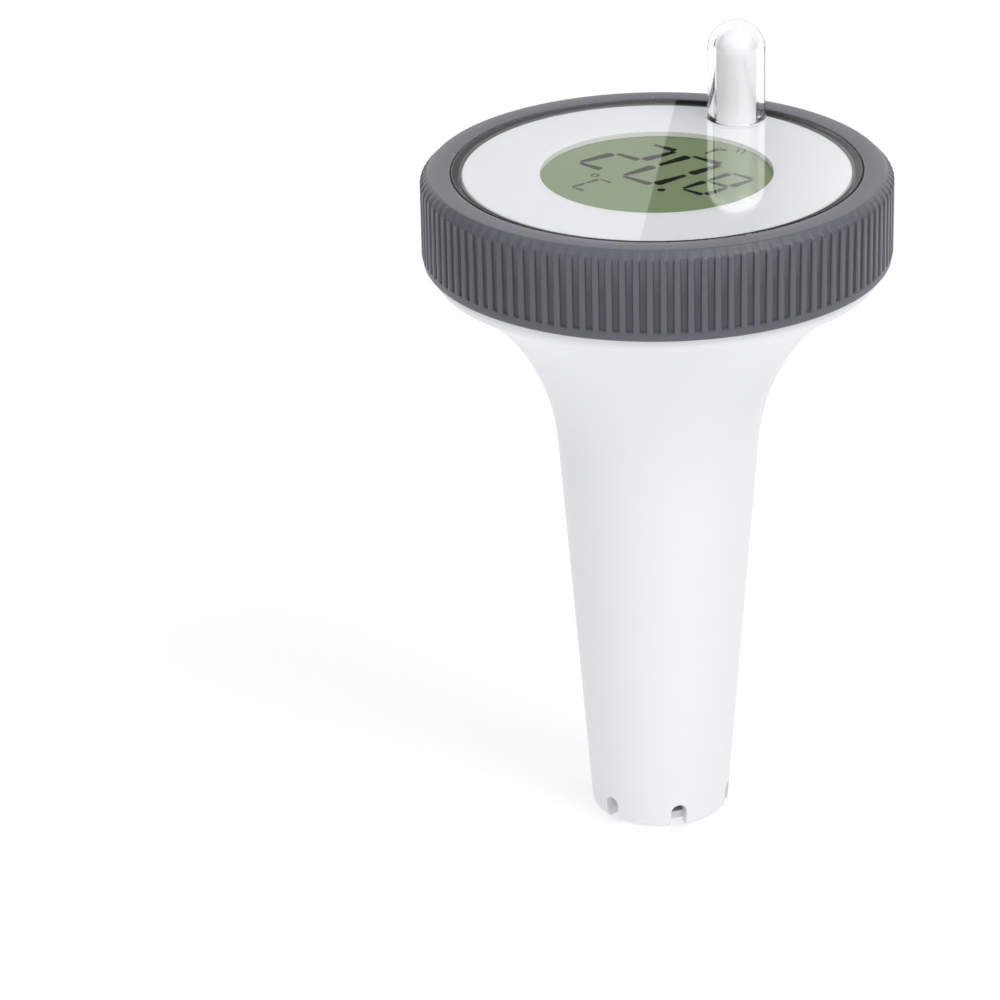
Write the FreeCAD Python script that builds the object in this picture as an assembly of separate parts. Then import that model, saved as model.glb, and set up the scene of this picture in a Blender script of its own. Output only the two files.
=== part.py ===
"""Floating pool thermometer: a weighted float with a screwed-down clear lid over a battery-powered display.

Millimetres, +Z up. The origin is the centre of the foot, on the plane that the foot stands on.
-Y is the side that faces the reader of the object's front.
"""

import FreeCAD
import Part

import math
import os

V = FreeCAD.Vector
UP = V(0, 0, 1)
CENTRE = V(0, 0, 0)
FULL_TURN = 360.0

# ---------------------------------------------------------------- driving dimensions
HEAD_DIAMETER = 105.0  # over the grip ribs
LIP_Z = 157.0  # top of the lock ring's lip above the foot
RING_HEIGHT = 20.5
WALL = 2.0  # float shell
GAP = 0.1  # between pieces that are fixed to each other
RUNNING_GAP = 0.3  # between pieces that turn or slide on each other

# ---------------------------------------------------------------- float shell
STEM_FOOT_RADIUS = 15.75  # where the tapered stem would meet the foot plane
STEM_TAPER = math.radians(4.35)
STEM_TOP_Z = 92.0  # the taper ends and the flare begins
FLARE_RADIUS = 51.0
SHOULDER_RADIUS = 50.3
SHOULDER_CORNER = 2.2
FOOT_CORNER = 1.6
NECK_RADIUS = 46.4
NECK_BORE = 42.2
BULKHEAD_Z = 20.0  # under side of the wall between the wet and the dry chamber
BULKHEAD = 2.5
WET_CHAMBER_RADIUS = 12.4
BALLAST_SEAT_Z = 29.0
PROBE_HOLE_RADIUS = 4.0

# ---------------------------------------------------------------- water slots in the foot
SLOT_COUNT = 6
SLOT_WIDTH = 3.7
SLOT_HEIGHT = 5.9
SLOT_PHASE = -74.4  # degrees from +X to the first slot

# ---------------------------------------------------------------- lock ring and its thread
RING_BOTTOM_Z = LIP_Z - RING_HEIGHT
LIP_THICKNESS = 2.5
LIP_INNER_RADIUS = 45.8
LIP_OUTER_RADIUS = 50.45
RING_TOP_RADIUS = HEAD_DIAMETER / 2
RING_FOOT_RADIUS = RING_TOP_RADIUS - 0.3
RING_SHOULDER_DROP = 2.1
RING_BORE = 48.4
RIB_COUNT = 112
RIB_DEPTH = 0.6
GROOVE_SHARE = 0.58  # of one rib pitch, at the groove's mouth
GROOVE_FLOOR_SHARE = 0.66  # of the groove's mouth, at its floor
GROOVE_TOP_Z = LIP_Z - 1.6
GROOVE_FOOT_Z = RING_BOTTOM_Z + 2.1
BEAD_RADIUS = 48.05  # inside edge of the bead that keeps the cover in the ring
THREAD_STARTS = 2
THREAD_LEAD = 6.0
THREAD_DEPTH = 1.5
THREAD_ROOT = 1.6
THREAD_CREST = 0.7
THREAD_OVERLAP = 0.4  # how far a ridge reaches into its wall
SHELL_THREAD_Z = RING_BOTTOM_Z + 2.8
SHELL_THREAD_TURNS = 1.5
RING_THREAD_Z = SHELL_THREAD_Z - THREAD_LEAD / THREAD_STARTS / 2
RING_THREAD_TURNS = 1.25

# ---------------------------------------------------------------- clear cover with its antenna tube
COVER_TOP_Z = LIP_Z - 0.1
COVER_THICKNESS = 1.4
COVER_EDGE = 0.25  # round on the boss and at the tube's root
COVER_BOSS_RADIUS = LIP_INNER_RADIUS - RUNNING_GAP
COVER_FLANGE_RADIUS = 48.4
COVER_FLANGE_TOP_Z = LIP_Z - LIP_THICKNESS - 0.1
COVER_SEAT_Z = LIP_Z - 5.6
COVER_RECESS_RADIUS = 43.9
GASKET_THICKNESS = 1.5
GASKET_INNER = 43.6
GASKET_OUTER = 46.2
NECK_TOP_Z = COVER_SEAT_Z - GASKET_THICKNESS
TUBE_CENTRE = V(18.1, 33.7, 0)
TUBE_RADIUS = 6.6
TUBE_BORE = 4.95
TUBE_TOP_Z = LIP_Z + 22.75

# ---------------------------------------------------------------- display unit
PLATE_RADIUS = 43.2
PLATE_TOP_Z = COVER_TOP_Z - COVER_THICKNESS - GAP
PLATE_THICKNESS = 1.4
PLATE_SKIRT = 1.7
WINDOW_RADIUS = 25.9
WINDOW_DISH_WIDTH = 2.2
WINDOW_DISH_DEPTH = 0.3
SLEEVE_RADIUS = 4.5
SLEEVE_BORE = 3.4
SLEEVE_TOP_Z = TUBE_TOP_Z - 2.4
LCD_TOP_Z = PLATE_TOP_Z - PLATE_THICKNESS - GAP
LCD_HALF_X = 27.2
LCD_HALF_Y = 26.9
LCD_LEDGE = 2.4  # strip of the front glass that carries the contacts, along +Y and -Y
LCD_CORNER = 6.0  # each corner of the glass is cut off at 45 degrees
LCD_GLASS = 1.1
LCD_FILM = 0.25
LCD_BORDER = 1.3  # frame round the glass
STRIP_HALF_LENGTH = 19.0
STRIP_WIDTH = 2.0
BOARD_RADIUS = 38.0
BOARD_Z = LIP_Z - 11.9
BOARD_THICKNESS = 1.6
BOARD_SCREW_CIRCLE = 34.5
BOARD_SCREW_ANGLES = (-15.0, 80.0, 165.0, 260.0)
SHELL_RADIUS = 41.6
SHELL_FLOOR_Z = LIP_Z - 18.9
SHELL_FLOOR = 1.6
SHELL_WALL = 1.8
SCREW_CIRCLE = 37.0
SCREW_ANGLES = (15.0, 105.0, 195.0, 285.0)
POST_RADIUS = 2.4
PILOT_RADIUS = 1.1

# ---------------------------------------------------------------- batteries (two AA cells)
CELL_RADIUS = 7.2
CELL_LENGTH = 50.5
CELL_NUB_RADIUS = 2.7
CELL_NUB = 1.2
CELL_X = 7.5
CELL_Y = 0.4
CONTACT = 0.4
SPRING_LENGTH = 3.5
BOX_HALF_WIDTH = 17.0
BOX_FRONT_Y = -9.5
BOX_BACK_Y = 9.3
BOX_CORNER = 3.5
BAY_HALF_WIDTH = 15.3
BAY_FRONT_Y = -7.0
BAY_BACK_Y = 7.8
BAY_FOOT_Z = SHELL_FLOOR_Z - 54.9
TAB_SLOT_Y = BAY_BACK_Y - 0.9
DOOR_THICKNESS = 1.4
DOOR_TRAVEL = 8.0

# ---------------------------------------------------------------- controls on the unit's under side
BUTTON_AT = V(-26.0, -12.0, 0)
BUTTON_RADIUS = 3.0
BUTTON_TRAVEL = 0.4
SWITCH_AT = V(-27.0, 10.0, 0)
SWITCH_TRAVEL = 4.0
KNOB_SIDE = 2.6

# ---------------------------------------------------------------- probe and its lead
PROBE_RADIUS = 2.5
PROBE_TIP_Z = 3.6
PROBE_BORE = 2.1
LEAD_RADIUS = 1.1
LEAD_EXIT = V(8.0, 20.5, 0)
BALLAST_RADIUS = 15.1
BALLAST_HEIGHT = 17.0
BALLAST_BORE = 4.5
BALLAST_SCREW_X = 10.0


# ================================================================ helpers
def polygon(points):
    """Closed wire in the XZ plane through (radius, z) points."""
    corners = [V(r, 0, z) for r, z in points]
    return Part.makePolygon(corners + corners[:1])


def revolved(wire):
    """Solid of revolution about Z from a closed wire in the XZ plane."""
    return Part.Face(wire).revolve(CENTRE, UP, FULL_TURN)


def turned(points):
    return revolved(polygon(points))


def cylinder(radius, z_low, z_high, at=CENTRE):
    return Part.makeCylinder(radius, z_high - z_low, V(at.x, at.y, z_low))


def tube(outer, inner, z_low, z_high, at=CENTRE):
    return cylinder(outer, z_low, z_high, at).cut(cylinder(inner, z_low - 1, z_high + 1, at))


def block(x_low, x_high, y_low, y_high, z_low, z_high):
    return Part.makeBox(x_high - x_low, y_high - y_low, z_high - z_low, V(x_low, y_low, z_low))


def round_upright_edges(body, corner):
    """Round the vertical edges of a straight-sided block."""
    return body.makeFillet(corner, [e for e in body.Edges if abs(e.tangentAt(e.FirstParameter).z) > 0.9])


def cut_corner_plate(half_x, half_y, z_low, z_high, corner):
    """Rectangular plate about the centre whose four corners are cut off at 45 degrees."""
    near_x, near_y = half_x - corner, half_y - corner
    quarter = [(half_x, near_y), (near_x, half_y)]
    outline = quarter + [(-x, y) for x, y in reversed(quarter)]
    outline += [(-x, -y) for x, y in quarter] + [(x, -y) for x, y in reversed(quarter)]
    corners = [V(x, y, z_low) for x, y in outline]
    return Part.Face(Part.makePolygon(corners + corners[:1])).extrude(V(0, 0, z_high - z_low))


def around(shape, angle, at=CENTRE):
    copy = shape.copy()
    copy.rotate(at, UP, angle)
    return copy


def on_circle(radius, angle):
    a = math.radians(angle)
    return V(radius * math.cos(a), radius * math.sin(a), 0)


def circular_edges(shape, radius, z, tolerance=0.02):
    """Edges of a revolved shape that are circles of this radius at this height."""
    return [
        e
        for e in shape.Edges
        if not e.Degenerated
        and isinstance(e.Curve, Part.Circle)
        and abs(e.Curve.Radius - radius) < tolerance
        and abs(e.Curve.Center.z - z) < tolerance
    ]


def helical_ridge(wall_radius, outward, z_middle, turns, phase):
    """One start of a thread: a trapezoid swept along a right-hand helix, set into a wall."""
    side = 1 if outward else -1
    root_radius = wall_radius - side * THREAD_OVERLAP
    crest_radius = wall_radius + side * THREAD_DEPTH
    flare = (THREAD_ROOT - THREAD_CREST) / 2 * THREAD_OVERLAP / THREAD_DEPTH
    half_root, half_crest = THREAD_ROOT / 2 + flare, THREAD_CREST / 2
    helix = Part.makeHelix(THREAD_LEAD, THREAD_LEAD * turns, wall_radius)
    section = polygon(
        [
            (root_radius, -half_root),
            (crest_radius, -half_crest),
            (crest_radius, half_crest),
            (root_radius, half_root),
        ]
    )
    ridge = Part.Wire(helix.Edges).makePipeShell([section], True, True)
    ridge.translate(V(0, 0, z_middle))
    return around(ridge, phase)


def thread(wall_radius, outward, z_middle, turns):
    starts = [
        helical_ridge(wall_radius, outward, z_middle, turns, k * FULL_TURN / THREAD_STARTS)
        for k in range(THREAD_STARTS)
    ]
    return starts[0].fuse(starts[1:])


def wire_coil(radius, wire_radius, pitch, turns, at, z_low):
    """Round wire wound on a cylinder, its first turn starting on the +X side."""
    helix = Part.makeHelix(pitch, pitch * turns, radius)
    section = Part.Wire(Part.makeCircle(wire_radius, V(radius, 0, 0), V(0, 1, 0)))
    coil = Part.Wire(helix.Edges).makePipeShell([section], True, True)
    coil.translate(V(at.x, at.y, z_low))
    return coil


def tangent_route(points):
    """Wire of straight runs joined by arcs, each as large as its two runs allow."""
    edges, start = [], points[0]
    for before, corner, after in zip(points, points[1:], points[2:]):
        into, out = (corner - before), (after - corner)
        shorter = min(into.Length, out.Length)
        into.normalize()
        out.normalize()
        half_turn = into.getAngle(out) / 2
        reach = 0.45 * shorter
        radius = reach / math.tan(half_turn)
        first, last = corner - into * reach, corner + out * reach
        inward = out - into
        inward.normalize()
        middle = corner + inward * (radius / math.cos(half_turn) - radius)
        edges += [Part.LineSegment(start, first).toShape(), Part.Arc(first, middle, last).toShape()]
        start = last
        print(f"lead bend radius {radius:.1f} mm")
    edges.append(Part.LineSegment(start, points[-1]).toShape())
    return Part.Wire(edges)


def pan_head_screw(at, head_z, direction, shank_radius, shank, head_radius, head):
    """Screw whose head sits at head_z and whose shank runs along direction, with a cross recess."""
    toward = UP * direction
    back = UP * -direction
    base = V(at.x, at.y, head_z)
    body = Part.makeCylinder(head_radius, head, base, back)
    rim = [e for e in body.Edges if abs(e.CenterOfMass.z - (head_z - direction * head)) < 0.01]
    body = body.makeFillet(head * 0.45, rim)
    body = body.fuse(Part.makeCylinder(shank_radius, shank, base, toward))
    recess = head * 0.6
    low = min(head_z - direction * head, head_z - direction * (head - recess))
    for angle in (0, 90):
        slot = block(-head_radius * 0.6, head_radius * 0.6, -0.3, 0.3, low, low + recess)
        slot.rotate(CENTRE, UP, angle)
        slot.translate(at)
        body = body.cut(slot)
    return body


# ================================================================ float shell
def stem_radius(z):
    return STEM_FOOT_RADIUS + z * math.tan(STEM_TAPER)


def flare_centre():
    """Centre (radius, z) of the arc that carries the stem's taper out to the shoulder."""
    return (
        stem_radius(STEM_TOP_Z) + FLARE_RADIUS * math.cos(STEM_TAPER),
        STEM_TOP_Z - FLARE_RADIUS * math.sin(STEM_TAPER),
    )


def flare_point(offset, radius):
    """Point of the flare, moved in from the outside by offset, at a given radius."""
    centre_r, centre_z = flare_centre()
    rise = math.sqrt((FLARE_RADIUS + offset) ** 2 - (centre_r - radius) ** 2)
    return V(radius, 0, centre_z + rise)


def flare_arc(offset, end_radius):
    """The flare's arc from the top of the stem to end_radius, moved in by offset."""
    centre_r, centre_z = flare_centre()
    reach = FLARE_RADIUS + offset
    start = V(centre_r - reach * math.cos(STEM_TAPER), 0, centre_z + reach * math.sin(STEM_TAPER))
    end = flare_point(offset, end_radius)
    middle_angle = (STEM_TAPER + math.atan2(end.z - centre_z, centre_r - end_radius)) / 2
    middle = V(centre_r - reach * math.cos(middle_angle), 0, centre_z + reach * math.sin(middle_angle))
    return start, Part.Arc(start, middle, end).toShape(), end


def float_outline():
    """Outside of the shell filled solid, from the foot to the top of the neck."""
    shoulder_z = RING_BOTTOM_Z - RUNNING_GAP
    start, arc, end = flare_arc(0, SHOULDER_RADIUS)
    corners = [
        V(SHOULDER_RADIUS, 0, shoulder_z),
        V(NECK_RADIUS, 0, shoulder_z),
        V(NECK_RADIUS, 0, NECK_TOP_Z),
        V(0, 0, NECK_TOP_Z),
        V(0, 0, 0),
        V(STEM_FOOT_RADIUS, 0, 0),
    ]
    edges = [arc, Part.makePolygon([end] + corners + [start])]
    solid = revolved(Part.Wire(Part.__sortEdges__([edges[0]] + edges[1].Edges)))
    solid = solid.makeFillet(SHOULDER_CORNER, circular_edges(solid, SHOULDER_RADIUS, end.z))
    return solid.makeFillet(FOOT_CORNER, circular_edges(solid, STEM_FOOT_RADIUS, 0))


def dry_cavity():
    """Space above the bulkhead that holds the ballast, the cells and the display unit."""
    floor_z = BULKHEAD_Z + BULKHEAD
    start, arc, end = flare_arc(WALL, NECK_BORE)
    floor_radius = start.x - (start.z - floor_z) * math.tan(STEM_TAPER)
    corners = [
        V(NECK_BORE, 0, NECK_TOP_Z + 1),
        V(0, 0, NECK_TOP_Z + 1),
        V(0, 0, floor_z),
        V(floor_radius, 0, floor_z),
    ]
    outline = Part.makePolygon([end] + corners + [start])
    return revolved(Part.Wire(Part.__sortEdges__([arc] + outline.Edges)))


def water_slot():
    """Mouse-hole cutter through the foot's wall on the +X side, open at the foot."""
    half = SLOT_WIDTH / 2
    spring_z = SLOT_HEIGHT - half
    inner, outer = WET_CHAMBER_RADIUS - 2, STEM_FOOT_RADIUS + 2
    upright = block(inner, outer, -half, half, -1, spring_z)
    arch = Part.makeCylinder(half, outer - inner, V(inner, 0, spring_z), V(1, 0, 0))
    return upright.fuse(arch)


def make_float_shell():
    shell = float_outline().cut(dry_cavity())
    shell = shell.cut(cylinder(WET_CHAMBER_RADIUS, -1, BULKHEAD_Z))
    for k in range(SLOT_COUNT):
        shell = shell.cut(around(water_slot(), SLOT_PHASE + k * FULL_TURN / SLOT_COUNT))
    for side in (-1, 1):
        at = V(side * BALLAST_SCREW_X, 0, 0)
        boss = cylinder(3.2, BULKHEAD_Z + BULKHEAD - 0.5, BALLAST_SEAT_Z, at)
        shell = shell.fuse(boss).cut(cylinder(PILOT_RADIUS + 0.3, BULKHEAD_Z + 1.5, 40, at))
    shell = shell.cut(cylinder(PROBE_HOLE_RADIUS, BULKHEAD_Z - 1, BULKHEAD_Z + BULKHEAD + 1))
    return shell.fuse(thread(NECK_RADIUS, True, SHELL_THREAD_Z, SHELL_THREAD_TURNS))


def make_probe_guard():
    """Slotted disc that closes the wet chamber under the probe."""
    disc = cylinder(WET_CHAMBER_RADIUS - GAP, 0.6, 2.4)
    radial_slot = block(4.0, 9.5, -1.0, 1.0, 0, 3)
    radial_slot = radial_slot.fuse([cylinder(1.0, 0, 3, V(4.0, 0, 0)), cylinder(1.0, 0, 3, V(9.5, 0, 0))])
    for k in range(SLOT_COUNT):
        disc = disc.cut(around(radial_slot, SLOT_PHASE + (k + 0.5) * FULL_TURN / SLOT_COUNT))
    return disc


# ================================================================ lock ring, gasket and cover
def ring_blank():
    shoulder_z = LIP_Z - RING_SHOULDER_DROP
    pocket = COVER_FLANGE_RADIUS + RUNNING_GAP
    bead_top, bead_foot = COVER_SEAT_Z - 0.1, COVER_SEAT_Z - 0.8
    blank = turned(
        [
            (LIP_INNER_RADIUS, LIP_Z),
            (LIP_OUTER_RADIUS, LIP_Z),
            (RING_TOP_RADIUS - 0.45, shoulder_z + 0.55),
            (RING_TOP_RADIUS, shoulder_z - 0.9),
            (RING_FOOT_RADIUS, RING_BOTTOM_Z + 0.8),
            (RING_FOOT_RADIUS - 0.8, RING_BOTTOM_Z),
            (RING_BORE, RING_BOTTOM_Z),
            (RING_BORE, bead_foot - 0.4),
            (BEAD_RADIUS, bead_foot),
            (BEAD_RADIUS, bead_top - 0.1),
            (pocket, bead_top),
            (pocket, LIP_Z - LIP_THICKNESS),
            (LIP_INNER_RADIUS, LIP_Z - LIP_THICKNESS),
        ]
    )
    lip_edges = circular_edges(blank, LIP_INNER_RADIUS, LIP_Z)
    return blank.makeFillet(0.3, lip_edges + circular_edges(blank, LIP_OUTER_RADIUS, LIP_Z))


def rib_grooves():
    """The gaps between the grip ribs, with sloping sides, running out into the ring's shoulder."""
    pitch = math.pi * HEAD_DIAMETER / RIB_COUNT
    half_mouth = pitch * GROOVE_SHARE / 2
    half_root = half_mouth * GROOVE_FLOOR_SHARE
    root_radius, mouth_radius = RING_TOP_RADIUS - RIB_DEPTH, RING_TOP_RADIUS + 1
    half_outside = half_mouth + (half_mouth - half_root) * 1 / RIB_DEPTH
    section = [
        V(root_radius, -half_root, GROOVE_FOOT_Z),
        V(mouth_radius, -half_outside, GROOVE_FOOT_Z),
        V(mouth_radius, half_outside, GROOVE_FOOT_Z),
        V(root_radius, half_root, GROOVE_FOOT_Z),
    ]
    groove = Part.Face(Part.makePolygon(section + section[:1])).extrude(V(0, 0, GROOVE_TOP_Z - GROOVE_FOOT_Z))
    return Part.makeCompound([around(groove, k * FULL_TURN / RIB_COUNT) for k in range(RIB_COUNT)])


def make_lock_ring():
    ring = ring_blank().cut(rib_grooves())
    return ring.fuse(thread(RING_BORE, False, RING_THREAD_Z, RING_THREAD_TURNS))


def make_cover_gasket():
    gasket = tube(GASKET_OUTER, GASKET_INNER, NECK_TOP_Z, COVER_SEAT_Z)
    edges = circular_edges(gasket, GASKET_OUTER, COVER_SEAT_Z) + circular_edges(gasket, GASKET_INNER, COVER_SEAT_Z)
    return gasket.makeFillet(0.4, edges)


def domed_post(radius, z_low, z_top, at):
    """Upright round post with a hemispherical end."""
    post = cylinder(radius, z_low, z_top - radius, at)
    return post.fuse(Part.makeSphere(radius, V(at.x, at.y, z_top - radius))).removeSplitter()


def make_clear_cover():
    underside_z = COVER_TOP_Z - COVER_THICKNESS
    disc = turned(
        [
            (0, COVER_TOP_Z),
            (COVER_BOSS_RADIUS, COVER_TOP_Z),
            (COVER_BOSS_RADIUS, COVER_FLANGE_TOP_Z),
            (COVER_FLANGE_RADIUS, COVER_FLANGE_TOP_Z),
            (COVER_FLANGE_RADIUS, COVER_SEAT_Z),
            (COVER_RECESS_RADIUS, COVER_SEAT_Z),
            (COVER_RECESS_RADIUS, underside_z),
            (0, underside_z),
        ]
    )
    disc = disc.makeFillet(COVER_EDGE, circular_edges(disc, COVER_BOSS_RADIUS, COVER_TOP_Z))
    cover = disc.fuse(domed_post(TUBE_RADIUS, underside_z + 0.5, TUBE_TOP_Z, TUBE_CENTRE)).removeSplitter()
    root = [
        e
        for e in circular_edges(cover, TUBE_RADIUS, COVER_TOP_Z)
        if e.Curve.Center.distanceToPoint(V(TUBE_CENTRE.x, TUBE_CENTRE.y, COVER_TOP_Z)) < 0.1
    ]
    cover = cover.makeFillet(COVER_EDGE, root)
    wall = TUBE_RADIUS - TUBE_BORE
    return cover.cut(domed_post(TUBE_BORE, underside_z - 1, TUBE_TOP_Z - wall, TUBE_CENTRE))


# ================================================================ display unit
def make_face_plate():
    """White disc behind the cover, with the dished window and posts for the shell's screws."""
    underside_z = PLATE_TOP_Z - PLATE_THICKNESS
    plate = turned(
        [
            (WINDOW_RADIUS + WINDOW_DISH_WIDTH, PLATE_TOP_Z),
            (PLATE_RADIUS, PLATE_TOP_Z),
            (PLATE_RADIUS, NECK_TOP_Z),
            (SHELL_RADIUS - 0.4, NECK_TOP_Z),
            (SHELL_RADIUS - 0.4, underside_z),
            (WINDOW_RADIUS, underside_z),
            (WINDOW_RADIUS, PLATE_TOP_Z - WINDOW_DISH_DEPTH),
        ]
    )
    plate = plate.makeFillet(0.4, circular_edges(plate, PLATE_RADIUS, PLATE_TOP_Z))
    for angle in SCREW_ANGLES:
        at = on_circle(SCREW_CIRCLE, angle)
        post = cylinder(POST_RADIUS, SHELL_FLOOR_Z + SHELL_FLOOR + 1.6, underside_z + 0.5, at)
        plate = plate.fuse(post).cut(cylinder(PILOT_RADIUS, SHELL_FLOOR_Z, underside_z - 1.5, at))
    return plate.cut(cylinder(SLEEVE_RADIUS - 0.9, 130, 160, TUBE_CENTRE))


def make_antenna_sleeve():
    """White thimble over the antenna, standing on the face plate inside the cover's tube."""
    sleeve = domed_post(SLEEVE_RADIUS, PLATE_TOP_Z, SLEEVE_TOP_Z, TUBE_CENTRE)
    spigot_foot_z = PLATE_TOP_Z - PLATE_THICKNESS
    spigot = cylinder(SLEEVE_RADIUS - 0.9 - GAP, spigot_foot_z, PLATE_TOP_Z + 0.5, TUBE_CENTRE)
    wall = SLEEVE_RADIUS - SLEEVE_BORE
    bore = domed_post(SLEEVE_BORE, PLATE_TOP_Z + 1.2, SLEEVE_TOP_Z - wall, TUBE_CENTRE)
    spigot_bore = cylinder(SLEEVE_BORE - 0.4, PLATE_TOP_Z - 5, PLATE_TOP_Z + 2, TUBE_CENTRE)
    return sleeve.fuse(spigot).cut(bore).cut(spigot_bore)


def make_antenna_coil():
    """Helical antenna whose straight leg stands on the board's edge."""
    radius, wire_radius, pitch, turns = 2.3, 0.3, 1.6, 10
    coil_foot_z = PLATE_TOP_Z + 1.5
    coil = wire_coil(radius, wire_radius, pitch, turns, TUBE_CENTRE, coil_foot_z)
    coil = around(coil, 180, TUBE_CENTRE)
    leg_at = TUBE_CENTRE - V(radius, 0, 0)
    leg = cylinder(wire_radius, BOARD_Z + BOARD_THICKNESS, coil_foot_z, leg_at)
    return coil.fuse([leg, Part.makeSphere(wire_radius, V(leg_at.x, leg_at.y, coil_foot_z))])


def lcd_layer(half_y, z_top, thickness):
    return cut_corner_plate(LCD_HALF_X, half_y, z_top - thickness, z_top, LCD_CORNER)


def make_lcd_front_polariser():
    return lcd_layer(LCD_HALF_Y, LCD_TOP_Z, LCD_FILM)


def make_lcd_front_glass():
    return lcd_layer(LCD_HALF_Y + LCD_LEDGE, LCD_TOP_Z - LCD_FILM, LCD_GLASS)


def make_lcd_rear_glass():
    return lcd_layer(LCD_HALF_Y, LCD_TOP_Z - LCD_FILM - LCD_GLASS, LCD_GLASS)


def make_lcd_reflector():
    return lcd_layer(LCD_HALF_Y, LCD_TOP_Z - LCD_FILM - 2 * LCD_GLASS, LCD_FILM)


def front_glass_underside_z():
    """Where the rubber contact strips press on the ledges of the front glass."""
    return LCD_TOP_Z - LCD_FILM - LCD_GLASS


def strip_block(side, clearance, z_low, z_high):
    """Straight block at one of the two ledges, side being -1 or +1."""
    middle = side * (LCD_HALF_Y + LCD_LEDGE / 2)
    half_width = STRIP_WIDTH / 2 + clearance
    half_length = STRIP_HALF_LENGTH + clearance
    return block(-half_length, half_length, middle - half_width, middle + half_width, z_low, z_high)


def make_contact_strips():
    """Two striped rubber connectors between the display glass and the board."""
    board_top, glass = BOARD_Z + BOARD_THICKNESS, front_glass_underside_z()
    return Part.makeCompound([strip_block(side, 0, board_top, glass) for side in (-1, 1)])


def make_lcd_frame():
    """Frame that holds the display glass and the strips square on the board."""
    board_top, seat = BOARD_Z + BOARD_THICKNESS, front_glass_underside_z()
    top_z = seat + LCD_GLASS / 2
    glass_half_y = LCD_HALF_Y + LCD_LEDGE
    frame = cut_corner_plate(
        LCD_HALF_X + LCD_BORDER, glass_half_y + LCD_BORDER, board_top, top_z, LCD_CORNER + LCD_BORDER / 2
    )
    frame = frame.cut(cut_corner_plate(LCD_HALF_X + GAP, glass_half_y + GAP, seat, top_z + 1, LCD_CORNER))
    rear_pocket_z = seat - LCD_GLASS - LCD_FILM - GAP
    frame = frame.cut(cut_corner_plate(LCD_HALF_X + GAP, LCD_HALF_Y + GAP, rear_pocket_z, top_z, LCD_CORNER))
    sill = 1.5
    middle = cut_corner_plate(LCD_HALF_X - sill, LCD_HALF_Y - sill, board_top - 1, top_z, LCD_CORNER)
    frame = frame.cut(middle)
    return frame.cut([strip_block(side, GAP, board_top - 1, top_z) for side in (-1, 1)])


def tab_places():
    """Where the battery contacts' tails pass through the shell and the board, left one first."""
    return [(-CELL_X, TAB_SLOT_Y), (CELL_X, TAB_SLOT_Y)]


def make_main_board():
    """Round board with scallops that clear the face plate's posts."""
    low, high = BOARD_Z - 1, BOARD_Z + BOARD_THICKNESS + 1
    board = cylinder(BOARD_RADIUS, BOARD_Z, BOARD_Z + BOARD_THICKNESS)
    board = board.cut([cylinder(POST_RADIUS + 0.4, low, high, on_circle(SCREW_CIRCLE, a)) for a in SCREW_ANGLES])
    holes = [cylinder(1.3, low, high, on_circle(BOARD_SCREW_CIRCLE, a)) for a in BOARD_SCREW_ANGLES]
    slots = [block(x - 1.7, x + 1.7, y - 0.5, y + 0.5, low, high) for x, y in tab_places()]
    return board.cut(holes + slots)


def make_board_screws():
    """Four screws that hold the board on the back shell's posts."""
    top = BOARD_Z + BOARD_THICKNESS
    places = [on_circle(BOARD_SCREW_CIRCLE, a) for a in BOARD_SCREW_ANGLES]
    return Part.makeCompound([pan_head_screw(at, top, -1, 1.05, 4.5, 2.0, 1.0) for at in places])


def make_controller_chip():
    """Epoxy blob over the bare processor chip, on the board's under side."""
    at = V(14, -14, 0)
    blob = Part.makeSphere(9.0, V(at.x, at.y, BOARD_Z + 7.2))
    return blob.common(cylinder(6.0, BOARD_Z - 3, BOARD_Z, at))


def make_radio_board():
    """Upright-edged transmitter module near the antenna's foot, on the board's under side."""
    board = block(14, 29, 2, 13, BOARD_Z - 1.0, BOARD_Z)
    chip = block(16.0, 20.0, 5.0, 9.0, BOARD_Z - 2.0, BOARD_Z - 1.0)
    coil_pack = block(24.0, 27.0, 4.0, 6.0, BOARD_Z - 2.2, BOARD_Z - 1.0)
    return board.fuse([chip, coil_pack])


def make_radio_crystal():
    """Metal-can crystal lying on the transmitter module."""
    return round_upright_edges(block(22.0, 28.0, 8.0, 11.4, BOARD_Z - 3.6, BOARD_Z - 1.0), 1.2)


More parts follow.
